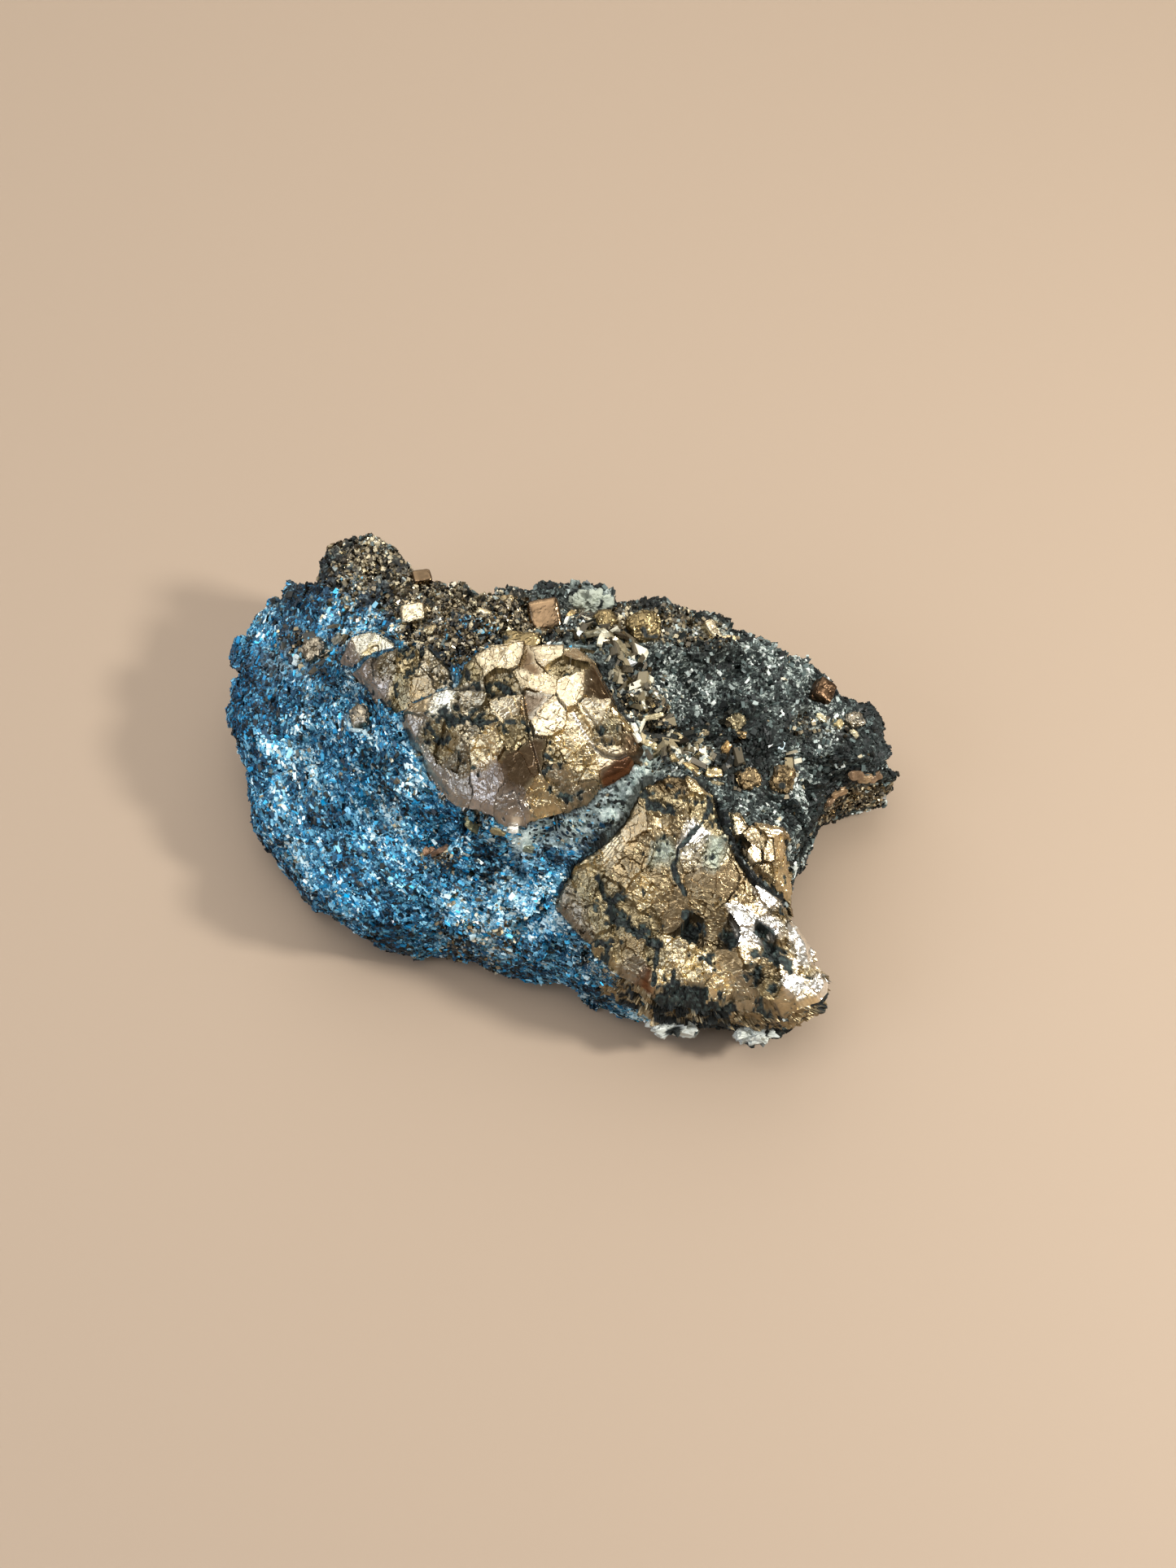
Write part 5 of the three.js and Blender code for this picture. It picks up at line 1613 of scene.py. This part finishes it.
SMALL = (
    SmallCrystal("pyrite_cube_knob", (-17.8, 18.9), (3.2, 2.6, 3), (12, -10, 8), Kind.BRIGHT, sunk=0.5),
    SmallCrystal("pyrite_plate_knob", (-17.2, 25), (2.4, 2, 1.4), (-8, 6, 15), Kind.MIRROR, sunk=0.1),
    SmallCrystal("pyrite_cube_crest", (-1.4, 16.2), (4, 4.2, 3.6), (28, -6, 10),
        Kind.MIRROR, sunk=0.9, power=7),
    SmallCrystal("pyrite_block_amber", (-4.2, 10.9), (4.6, 2.6, 3), (18, 4, -6),
        Kind.AMBER, sunk=0.8, power=5),
    SmallCrystal("pyrite_rounded_large", (10.6, 15.6), (4.2, 4, 3.6), (22, 10, 16),
        Kind.AMBER, sunk=0.7, power=3.2),
    SmallCrystal("pyrite_rounded_small", (6, 16), (2.8, 2.8, 2.8), (12, -12, 24),
        Kind.AMBER, sunk=0.7, power=3.2),
    SmallCrystal("pyrite_blade_crest", (19.2, 17.2), (1.4, 3.2, 2.4), (14, 20, 32),
        Kind.BRIGHT, sunk=0.3, power=5),
    SmallCrystal("pyrite_grain_arm_pale", (21.5, 3.3), (2.4, 2, 2), (10, 25, 40),
        Kind.OLIVE, sunk=0.3, power=5),
    SmallCrystal("pyrite_grain_arm_brown", (27.4, -2.5), (2.6, 3.4, 2.4), (18, -12, -14),
        Kind.BROWN, sunk=0.5, power=5),
    SmallCrystal("pyrite_grain_arm_near", (22.8, -4.3), (2.8, 2.4, 2.4), (22, 10, 20),
        Kind.BROWN, sunk=0.6, power=5),
    SmallCrystal("pyrite_block_arm_edge", (33, 11), (2.6, 3, 3.2), (8, 24, -24), Kind.RUSTY, sunk=0.8),
    SmallCrystal("pyrite_grain_arm_tip", (37, 7.4), (2.4, 2, 2), (-10, 16, 20),
        Kind.SCALY, sunk=0.4, power=4),
    SmallCrystal("pyrite_grain_left_near", (-23.9, 4.9), (2.2, 2.8, 2), (6, -24, 12),
        Kind.SCALY, sunk=0.5, power=4),
    SmallCrystal("pyrite_grain_left_far", (-30.6, 16.5), (3, 2.8, 2.4), (10, -20, 30),
        Kind.SCALY, sunk=0.6, power=4),
    SmallCrystal("quartz_crust_near", (13.8, -29.9), (5, 1.6, 2.4), (6, 4, -4),
        Kind.QUARTZ, z=6.2, power=3, slot="quartz"),
    SmallCrystal("quartz_crust_corner", (23.7, -30.4), (4.2, 1.6, 2.2), (4, -4, 3),
        Kind.QUARTZ, z=5.4, power=3, slot="quartz"),
    SmallCrystal("quartz_crust_crest", (4.2, 19.6), (4.8, 2.4, 2.4), (-16, 4, -6),
        Kind.CRUST, sunk=1.2, power=3, slot="quartz"),
)


# ---- the grains


class Zone(Enum):
    """The part of the schist that a crowd of grains keeps to."""

    # grains where a painted bluish reflection of sky light lies
    BLUE = "blue"
    NEUTRAL = "neutral"
    ORE = "ore"
    LATH = "lath"


@dataclass(frozen=True)
class Grains:
    """A crowd of loose-looking grains joined in one mesh, scattered over the schist.

    Each grain is a small shape of a few faces, stretched, turned and placed by seeded chance. Its
    corners keep one tint, roughness and share of metal, and its faces share one square of the
    atlas that its finish is baked to.

    Args:
        name: name of the object
        count: number of grains, at most ATLAS squared
        length: shortest and longest long side, mm
        flatness: thickness and width as shares of the long side
        stretch_along: 1 follows the foliation, 0 lies any way
        tilt: how far grains lean out of the surface, 0 to 1
        flake: whether a grain is a box of 12 faces or an eight-faced grain
        palette: its colours, dark ones first
        blue_palette: the same for the zone with a painted bluish reflection of sky light
        zone: where it lies
        metal: share of grains that shine like metal
        rough: lowest and highest roughness
        seed: which chance
        slot: a material slot; not used
    """

    name: str
    count: int
    length: tuple[float, float]
    flatness: tuple[float, float]
    stretch_along: float
    tilt: float
    flake: bool
    palette: Palette
    blue_palette: Palette
    zone: Zone
    metal: float
    rough: tuple[float, float]
    seed: int
    slot: str = "schist"

    ATLAS = 128  # squares along the baked picture
    EDGE = (-0.15, 0.2)  # where grains begin at a large crystal's outline, mm
    UNDER_FOOT = 0.8  # how far under a crystal's foot they lie all the same, mm
    CLEARING, CLEARING_EDGE = 0.42, (0.8, 1.1)  # bare share of a small crystal's width
    LOWEST = 0.7  # height under which there are none, mm
    SIZES = 2.2  # the higher, the fewer large ones
    RAISED = 0.5  # how far a grain stands over its place, as a share of half its thickness
    SHINY_ROUGH = 0.6  # share of its roughness that one that shines keeps

    BOX = np.array([[x, y, z] for z in (-1, 1) for y in (-1, 1) for x in (-1, 1)], float)
    BOX_FACES = np.array([
        (0, 2, 3), (0, 3, 1), (4, 5, 7), (4, 7, 6), (0, 1, 5), (0, 5, 4), (2, 6, 7), (2, 7, 3), (0, 4, 6),
        (0, 6, 2), (1, 3, 7), (1, 7, 5),
    ])
    GRAIN = np.array([(1, 0, 0), (0, 1, 0), (-1, 0, 0), (0, -1, 0), (0, 0, 1), (0, 0, -1)], float)
    GRAIN_FACES = np.array([
        (0, 1, 4), (1, 2, 4), (2, 3, 4), (3, 0, 4), (1, 0, 5), (2, 1, 5), (3, 2, 5), (0, 3, 5),
    ])

    def chance_of(self, lump: Surface, middle: Array, crystals: Sequence[Crystal]) -> Array:
        """How likely each of the schist's triangles is to carry a grain, beside its area.

        Args:
            lump: the schist
            middle: middle of each triangle, mm
            crystals: the large crystals, under which there are none

        Returns:
            One value for each triangle, of which only the shares count.
        """
        free = np.ones(len(middle))
        for crystal in crystals:
            outside = smooth(*self.EDGE, outline_distance(middle[:, :2], crystal.outline))
            free *= np.maximum(outside, middle[:, 2] < crystal.foot - self.UNDER_FOOT)
        near, far = self.CLEARING_EDGE
        for small in SMALL:
            clear = self.CLEARING * max(small.size[:2])
            free *= smooth(clear * near, clear * far, np.hypot(*(middle[:, :2] - small.at).T))
        free *= middle[:, 2] > self.LOWEST
        zone = lump.values["zone"][lump.faces].mean(axis=1)
        blue, pale, ore, lath = zone.T
        if self.zone is Zone.BLUE:
            free *= np.clip(blue, 0, 1) * (1 - 0.96 * pale) * (1 - 0.7 * ore)
        elif self.zone is Zone.NEUTRAL:
            free *= (1 - 0.75 * blue) * (1 - 0.96 * pale) * (1 - 0.6 * ore)
        elif self.zone is Zone.LATH:
            free *= lath**1.5
        else:
            free *= ore**1.5 + 0.002
        return free

    def build(self, lump: Surface, crystals: Sequence[Crystal]) -> Surface:
        """Scatters the grains over the schist's surface.

        Args:
            lump: the schist
            crystals: the large crystals

        Returns:
            All grains as one surface.
        """
        random = np.random.default_rng(self.seed)
        normal, area = lump.normals()
        middle = lump.points[lump.faces].mean(axis=1)
        chance = area * self.chance_of(lump, middle, crystals)
        chosen = random.choice(len(area), self.count, p=chance / chance.sum())
        weights = random.dirichlet((1, 1, 1), self.count)
        at = np.einsum("nk,nkc->nc", weights, lump.points[lump.faces[chosen]])
        zone = np.einsum("nk,nkc->nc", weights, lump.values["zone"][lump.faces[chosen]])
        light, streak_and_painted_light = (
            np.einsum("nk,nk->n", weights, lump.values[key][lump.faces[chosen]])
            for key in ("light", "streak_and_painted_light")
        )
        axes = self.axes(random, at, lump.point_normals()[lump.faces[chosen, 0]])
        low, high = self.length
        long_side = low + (high - low) * random.random(self.count) ** self.SIZES
        thin, wide = self.flatness
        half = long_side[:, None] / 2 * np.stack([
            np.ones(self.count),
            wide * random.uniform(0.6, 1.3, self.count),
            thin * random.uniform(0.6, 1.4, self.count),
        ], axis=1)
        form, faces = (self.BOX, self.BOX_FACES) if self.flake else (self.GRAIN, self.GRAIN_FACES)
        corners = form[None] * random.uniform(0.65, 1.2, (self.count, len(form), 3)) * half[:, None]
        points = np.einsum("nkc,ncd->nkd", corners, axes) + at[:, None]
        points += axes[:, 2:3] * half[:, 2, None, None] * self.RAISED
        points[..., 2] = np.maximum(points[..., 2], 0.02)
        faces = (faces[None] + len(form) * np.arange(self.count)[:, None, None]).reshape(-1, 3)
        dress = self.dress(random, at, zone, light, streak_and_painted_light)
        values = {key: np.repeat(value, len(form), axis=0) for key, value in dress.items()}
        return Surface(points.reshape(-1, 3), faces, values)

    def axes(self, random: np.random.Generator, at: Array, normal: Array) -> Array:
        """Turns the grains: the long side lies in the surface, and the short one points out of it.

        Args:
            random: where chance comes from
            at: their places, mm
            normal: the schist's unit normal at each

        Returns:
            Long, middle and short axis of each, (n, 3, 3).
        """
        around = at[:, :2] - FOLD
        flow = np.column_stack([-around[:, 1], around[:, 0], np.zeros(len(at))])
        flow /= np.maximum(np.linalg.norm(flow, axis=1), 1e-6)[:, None]
        along = self.stretch_along * flow + (1.4 - self.stretch_along) * random.normal(0, 0.5, at.shape)
        up = normal + self.tilt * random.normal(0, 0.6, at.shape)
        up /= np.linalg.norm(up, axis=1)[:, None]
        along -= up * np.sum(along * up, axis=1)[:, None]
        along /= np.maximum(np.linalg.norm(along, axis=1), 1e-6)[:, None]
        return np.stack([along, np.cross(up, along), up], axis=1)

    def dress(
        self, random: np.random.Generator, at: Array, zone: Array, light: Array, streak_and_painted_light: Array
    ) -> Values:
        """Finishes the grains.

        Args:
            random: where chance comes from
            at: their places, mm
            zone: shares of the painted bluish reflection of sky light, pale, ore and laths at each
            light: how much light is left there
            streak_and_painted_light: how bright the grains are there, from foliation streaks and from painted
                light and shade

        Returns:
            Tint, roughness and share of metal of each.
        """
        # painted light and shade, with the foliation streaks, move each grain's draw along its palette
        drift = (0.36 * streak_and_painted_light + 0.08 * swell(at, 5, 121)) * (1 - 0.75 * zone[:, 2])
        draw = np.clip(0.5 + 0.82 * (random.random(self.count) - 0.5) + drift, 0, 0.9999)
        # painted reflection: grains take the bluish palette of sky light by the zone's first share
        plain, blue = (self.pick(palette, draw) for palette in (self.palette, self.blue_palette))
        tint = plain + (blue - plain) * (random.random(self.count) < zone[:, 0])[:, None]
        # painted shade: each grain is darkened where the schist's light is low, in hollows and seams
        tint = tint * random.uniform(0.75, 1.2, self.count)[:, None] * (0.25 + 0.75 * light)[:, None]
        shiny = random.random(self.count) < self.metal
        rough = random.uniform(*self.rough, self.count)
        rough = np.where(shiny, rough * self.SHINY_ROUGH, rough)
        return {"tint": tint, "rough": rough, "metal": shiny.astype(float)}

    def pick(self, palette: Palette, draw: Array) -> Array:
        """Linear colours from a palette, by draws from 0 to 1."""
        limits = np.cumsum([share for _, share in palette])
        colours = np.array([linear(colour) for colour, _ in palette])
        return colours[np.minimum(np.searchsorted(limits / limits[-1], draw), len(palette) - 1)]

    def atlas(self, made: bpy.types.Object) -> None:
        """Lays every face of a grain in the grain's own square of the baked picture.

        Args:
            made: the grains' object
        """
        faces = len(made.data.polygons)
        per_grain = faces // self.count
        row, column = np.divmod(np.arange(faces) // per_grain, self.ATLAS)
        corner = np.array([(0.15, 0.15), (0.85, 0.15), (0.5, 0.85)])
        uv = (np.stack([column, row], axis=1)[:, None] + corner) / self.ATLAS
        made.data.uv_layers.new(name="OFBake").data.foreach_set("uv", uv.astype(np.float32).ravel())


NEUTRAL = (
    ((9, 14, 13), 38), ((31, 38, 37), 26), ((82, 94, 92), 17), ((154, 164, 160), 14), ((204, 210, 204), 5),
)
# Grains of the left flank: bluish tones with bright cyan and white sparkles, a painted reflection of sky
# light.
BLUE = (
    ((5, 20, 30), 24), ((22, 62, 88), 22), ((10, 110, 156), 10), ((72, 130, 156), 18), ((124, 182, 208), 12),
    ((76, 192, 244), 6), ((210, 236, 242), 10),
)
SAND = (
    ((36, 35, 31), 24), ((88, 80, 66), 27), ((138, 126, 102), 25), ((190, 178, 148), 18),
    ((230, 220, 194), 6),
)
LATHS = (
    ((46, 47, 43), 26), ((84, 77, 63), 24), ((126, 116, 92), 22), ((170, 166, 148), 18),
    ((214, 208, 186), 10),
)

GRAINS = (
    # painted reflection: the mica flakes keep to the sky-reflection zone and take its bluish palette
    Grains("mica_flakes_coarse", 13000, (0.35, 1.0), (0.2, 0.4), 1.1, 0.4, True, NEUTRAL, BLUE,
           Zone.BLUE, 0.12, (0.22, 0.6), 201),
    Grains("mica_flakes_fine", 16000, (0.2, 0.5), (0.3, 0.55), 1.0, 0.55, True, NEUTRAL, BLUE,
           Zone.BLUE, 0.1, (0.2, 0.6), 202),
    Grains("schist_grains_coarse", 16000, (0.32, 0.85), (0.4, 0.6), 0.5, 0.45, True, NEUTRAL, BLUE,
           Zone.NEUTRAL, 0.03, (0.35, 0.8), 203),
    Grains("schist_grains_fine", 16000, (0.22, 0.52), (0.5, 0.8), 0.3, 0.7, False, NEUTRAL, BLUE,
           Zone.NEUTRAL, 0.03, (0.35, 0.8), 204),
    Grains("pyrite_sand", 16000, (0.2, 0.6), (0.7, 0.85), 0.1, 0.9, True, SAND, SAND,
           Zone.ORE, 0.6, (0.2, 0.5), 205, "pyrite"),
    Grains("mineral_laths", 460, (0.8, 2.4), (0.3, 0.45), 0.5, 0.5, True, LATHS, LATHS,
           Zone.LATH, 0.4, (0.25, 0.6), 206),
)


@dataclass(frozen=True)
class Flake:
    """One larger grain that lies on the schist.

    Args:
        at: place on the plan, mm
        size: length, width and thickness, mm
        turn: direction of its length, degrees from +X towards +Y
        tint: colour, 0 to 255 per channel
        metal: how much it shines like metal
        lean: how far it leans over its width, degrees
    """

    at: tuple[float, float]
    size: tuple[float, float, float]
    turn: float
    tint: Colour
    metal: float = 0.0
    lean: float = 0.0

    STEPS = 7
    POWER = 5.0
    CHIPS = ((0.9, 0.12, 131), (0.4, 0.14, 132))
    REACH, PULL = 0.35, 30  # it lies on the highest point this near; one further off, mm, counts as lower
    LIFT = 0.2  # height of its middle over the schist as a share of its thickness
    SHADE, ROUGH = (0.3, 0.7, 133), (0.2, 0.5, 135)
    SPECK, SPECKED = (0.3, 134), 0.3

    def surface(self, lump: Surface, normals: Array) -> Surface:
        """The flake's closed surface, laid where the schist is highest near its place.

        Args:
            lump: the schist
            normals: unit normal of each of its points

        Returns:
            The surface.
        """
        away = np.hypot(*(lump.points[:, :2] - self.at).T)
        near = int(np.argmax(lump.points[:, 2] - self.PULL * np.maximum(0, away - self.REACH)))
        up = normals[near] / np.linalg.norm(normals[near])
        around = math.radians(self.turn)
        along = np.array([math.cos(around), math.sin(around), 0.0])
        along -= up * (along @ up)
        along /= np.linalg.norm(along)
        side = np.cross(up, along)
        tip = math.radians(self.lean)
        side, up = side * math.cos(tip) + up * math.sin(tip), up * math.cos(tip) - side * math.sin(tip)
        shape, faces = worn_block(self.STEPS, self.size, self.POWER)
        own = shape + 17.0 * (self.at[0] - self.at[1])  # so that no two have the same noise
        shape = pushed_out(shape, sum(chip(own, *one) for one in self.CHIPS))
        points = shape @ np.stack([along, side, up]) + lump.points[near] + up * self.size[2] * self.LIFT
        shade = swells(1, own, self.SHADE) + self.SPECKED * (speckle(own, *self.SPECK) - 0.5)
        rough = swells(0.32, own, self.ROUGH)
        tint = linear(self.tint) * shade[:, None]
        return Surface(points, faces, {"tint": tint, "rough": rough, "metal": rough * 0 + self.metal})


# Place, size, turn, tint, metal and lean of each.
FLAKE_ROWS = (
    ((-10, -10.9), (2.6, 1.1, 0.5), -20, (120, 118, 92), 0.5),
    ((-6.9, -12.2), (1.8, 0.9, 0.5), -35, (132, 122, 92), 0.5),
    ((-2.9, -13.2), (1.6, 0.9, 0.5), -15, (120, 124, 104), 0.3),
    # painted highlight: a near-white flake
    ((-5, -12.1), (1.1, 0.6, 0.5), -10, (248, 246, 236), 0.6),
    ((-13.9, -12.2), (2.4, 1.3, 0.6), -25, (108, 84, 66), 0.4),
    ((-15.3, -11.8), (1.4, 0.8, 0.5), 20, (126, 96, 72), 0.4),
    ((-7.4, -19.8), (1.8, 1, 0.5), 70, (96, 82, 66), 0.3),
    # painted highlight: a bluish-white flake
    ((26.8, 1.8), (1.4, 1.1, 0.8), 30, (216, 238, 248), 0.3, 20),
    ((19.6, 17.2), (2.2, 0.6, 0.8), -60, (236, 214, 168), 0.9, 20),
    ((21, 16), (1.8, 0.5, 0.7), -65, (214, 190, 144), 0.9, 25),
    ((1.1, 15), (3.4, 0.5, 0.6), 88, (236, 238, 226), 0.1, 10),
    ((1.8, 16.6), (2.6, 1, 0.8), 75, (196, 170, 122), 0.8, 25),
    ((4.6, 11.9), (3, 0.9, 0.8), -58, (150, 142, 116), 0.5, 20),
    ((6.2, 11.2), (2.6, 0.9, 0.8), -40, (186, 182, 160), 0.3, 15),
    ((7.9, 10), (2.4, 0.8, 0.8), -50, (132, 122, 96), 0.5, 20),
    ((5.3, 9.6), (2.2, 0.8, 0.7), -70, (206, 200, 176), 0.3, 25),
    ((3.1, 9.9), (2.4, 1.6, 0.5), 20, (128, 146, 146), 0.1),
    ((10.2, 1.9), (2, 0.8, 0.7), -30, (214, 208, 184), 0.4, 25),
    ((11.2, 0.2), (2.4, 0.7, 0.6), -20, (188, 176, 142), 0.6, 20),
    ((9.6, -2.2), (2.2, 0.7, 0.6), -55, (216, 214, 200), 0.3, 30),
    ((11.6, -3.2), (2.6, 0.8, 0.6), -15, (174, 160, 124), 0.7, 20),
    ((12.6, 3.2), (1.6, 0.7, 0.6), 10, (150, 134, 98), 0.7, 15),
    ((14, -1), (2, 0.7, 0.6), -35, (160, 146, 112), 0.7, 15),
    ((16, -5), (2.6, 1.2, 0.8), -20, (196, 172, 124), 0.9, 20),
    ((18.6, -5), (2.2, 1.3, 0.8), 15, (206, 186, 142), 0.9, 10),
    ((13.6, -5.3), (1.8, 0.8, 0.7), 40, (176, 158, 118), 0.8, 15),
    ((20.4, -1.2), (1.5, 0.9, 0.7), 60, (172, 142, 96), 0.8),
    ((22.4, 1.2), (1.3, 0.8, 0.6), -30, (182, 156, 112), 0.8),
    ((17.5, 0.6), (1.5, 0.8, 0.6), 25, (142, 130, 104), 0.5),
    ((32.9, 6.8), (1.3, 0.9, 0.7), -20, (196, 186, 150), 0.6),
    ((35, 6), (1.2, 0.9, 0.7), 40, (176, 160, 118), 0.7),
    ((36.8, 5.4), (1.1, 0.8, 0.6), 10, (206, 196, 164), 0.6),
    ((34.4, -1.6), (2, 1.1, 0.7), 16, (128, 104, 80), 0.4, -12),
    ((35.7, -1), (2.2, 1, 0.8), 2, (146, 120, 90), 0.4, -8),
    ((37.1, -0.5), (1.9, 1.2, 0.6), 18, (132, 108, 84), 0.4, -14),
    ((38.3, -0.1), (2.1, 1, 0.8), 6, (150, 126, 96), 0.4, -6),
    ((39.5, 0.2), (1.8, 1.1, 0.7), 20, (124, 102, 80), 0.4, -12),
    ((15.8, -30.2), (1.7, 0.8, 0.5), -4, (206, 208, 198), 0),
    ((17.4, -30.1), (1.2, 0.7, 0.5), 12, (188, 192, 182), 0),
    ((21.2, -30.2), (1.3, 0.7, 0.5), -10, (196, 198, 188), 0),
    # painted reflection: two bluish flakes stand for sparkles of sky light on the left flank
    ((-33.6, 2.9), (1.3, 0.6, 0.3), 80, (150, 214, 250), 0.4),
    ((-25.3, -5.6), (1.2, 0.6, 0.3), 125, (150, 214, 250), 0.4),
    ((-33, 15.2), (1.4, 0.8, 0.4), 60, (196, 210, 212), 0.2),
    ((-24.3, 2.9), (2, 0.9, 0.4), 115, (166, 188, 194), 0.1),
    ((-12.6, 16.8), (2.2, 1.1, 0.6), -25, (196, 178, 138), 0.8),
    ((-8.4, 14.3), (2, 1, 0.6), -30, (206, 190, 152), 0.8),
    ((-15.6, 15.2), (1.8, 1, 0.6), 10, (178, 160, 122), 0.8),
    ((-6.2, 16.4), (1.6, 0.9, 0.6), -15, (156, 138, 104), 0.8),
    ((-27.6, 17.6), (1.6, 1, 0.5), 30, (120, 116, 100), 0.4),
)
FLAKES = tuple(Flake(*row) for row in FLAKE_ROWS)


def flakes(lump: Surface) -> Surface:
    """All larger grains as one surface."""
    normals = lump.point_normals()
    parts = [flake.surface(lump, normals) for flake in FLAKES]
    starts = np.cumsum([0] + [len(part.points) for part in parts[:-1]])
    return Surface(
        np.concatenate([part.points for part in parts]),
        np.concatenate([part.faces + start for part, start in zip(parts, starts)]),
        {key: np.concatenate([part.values[key] for part in parts]) for key in parts[0].values},
    )


# ---- floor, light and camera


@dataclass(frozen=True)
class Softbox:
    """A square light that shines at the specimen.

    Args:
        name: name of the light
        azimuth: direction it comes from, degrees from +X towards +Y
        elevation: height above the horizon, degrees
        distance: from the specimen, mm
        side: edge length, mm
        power: watts
        colour: 0 to 255 per channel
    """

    name: str
    azimuth: float
    elevation: float
    distance: float
    side: float
    power: float
    colour: Colour

    def make(self) -> None:
        """Places the light, turned to the specimen."""
        light = bpy.data.lights.new(self.name, "AREA")
        light.size = self.side * MM
        light.energy = self.power
        light.color = linear(self.colour)
        lamp = bpy.data.objects.new(self.name, light)
        around, up = math.radians(self.azimuth), math.radians(self.elevation)
        away = Vector((math.cos(around) * math.cos(up), math.sin(around) * math.cos(up), math.sin(up)))
        lamp.location = AIM * MM + away * self.distance * MM
        lamp.rotation_euler = away.to_track_quat("Z", "Y").to_euler()
        bpy.context.scene.collection.objects.link(lamp)


AIM = Vector((3.9, -1.3, 16.0))  # what the camera looks at, mm in the frame
CAMERA_ELEVATION, CAMERA_DISTANCE = 62.0, 250.0  # degrees over the horizon, and mm
CAMERA_LENS, CAMERA_SENSOR = 46.9, 36.0  # mm
CAMERA_CLIP = (0.01, 10.0)  # metres
LIGHTS = (
    Softbox("window", 100, 52, 420, 600, 2.0, (253, 252, 249)),
    Softbox("overhead", 200, 80, 420, 280, 0.8, (255, 250, 244)),
    Softbox("corner", -10, 40, 420, 60, 2.4, (255, 254, 250)),
    Softbox("side", 205, 34, 420, 240, 0.9, (204, 218, 240)),
)


def add_camera() -> None:
    """Camera that looks at AIM from the front."""
    camera = bpy.data.cameras.new("view")
    camera.lens = CAMERA_LENS
    camera.sensor_width = CAMERA_SENSOR
    camera.clip_start, camera.clip_end = CAMERA_CLIP
    seen = bpy.data.objects.new("view", camera)
    up = math.radians(CAMERA_ELEVATION)
    seen.location = (AIM + Vector((0, -math.cos(up), math.sin(up))) * CAMERA_DISTANCE) * MM
    seen.rotation_euler = (math.pi / 2 - up, 0, 0)
    bpy.context.scene.collection.objects.link(seen)
    bpy.context.scene.camera = seen


# Light from all round, from straight below to straight above.
SKY = ((0.35, (118, 98, 78)), (0.62, (147, 136, 122)), (1.0, (188, 186, 182)))
FLOOR_SIDE = 2000.0  # half its edge, mm
FLOOR_DROP = 0.05  # how far it lies under the resting plane, mm
FLOOR_COLOUR, FLOOR_ROUGH = (144, 126, 107), 0.7


def add_world() -> None:
    """Soft light from all round: warm and dim low down, brighter overhead."""
    world = bpy.data.worlds.new("room")
    bpy.context.scene.world = world
    tree = Tree(world)
    place = tree.add("ShaderNodeTexCoord").outputs["Generated"]
    up = tree.add("ShaderNodeSeparateXYZ", {0: place}).outputs["Z"]
    height = tree.add("ShaderNodeMapRange", {"Value": up, "From Min": -1.0}).outputs["Result"]
    tree.put(tree.nodes["Background"].inputs["Strength"], 1.0)
    tree.put(tree.nodes["Background"].inputs["Color"], tree.ramp(height, SKY))


def add_floor() -> bpy.types.Object:
    """A plain pale floor under the specimen."""
    signs = ((-1, -1), (1, -1), (1, 1), (-1, 1))
    corners = np.array([(x * FLOOR_SIDE, y * FLOOR_SIDE, -FLOOR_DROP) for x, y in signs])
    material = Shader("floor").finish(Base_Color=(*linear(FLOOR_COLOUR), 1), Roughness=FLOOR_ROUGH)
    return Surface(corners, np.array([(0, 1, 2), (0, 2, 3)])).make("floor", material)


# ---- the scene


def main() -> None:
    """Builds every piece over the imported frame, dresses it, and writes how large it came out."""
    logging.basicConfig(level=logging.INFO, format="%(message)s")
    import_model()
    bpy.context.scene.view_settings.view_transform = "Standard"

    rim = Rim()
    schist = SchistFinish("schist").make()
    pyrite = MetalFinish("pyrite").make()
    loose = MetalFinish("grains", mottle=0.4, depth=0.2, pits=0.15, relief=0.01, gloss=0.3).make()

    lump = Lump(rim, CRYSTALS).surface()
    body = lump.make("schist_body", schist)
    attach(body, "root")
    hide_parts("matrix_schist")

    for crystal in CRYSTALS:
        made = crystal.surface().make(crystal.name.replace("pyrite_", "dressed_"), pyrite)
        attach(made, "root")
        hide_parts(crystal.name)

    for small in SMALL:
        made = small.surface(rim).make(f"dressed_{small.name}", pyrite)
        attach(made, "root")
        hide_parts(small.name)

    for grains in GRAINS:
        made = grains.build(lump, CRYSTALS).make(grains.name, loose)
        grains.atlas(made)
        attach(made, "root")

    larger = flakes(lump).make("schist_flakes", loose)
    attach(larger, "root")

    add_floor()
    add_world()
    add_camera()
    for light in LIGHTS:
        light.make()


if __name__ == "__main__":
    main()
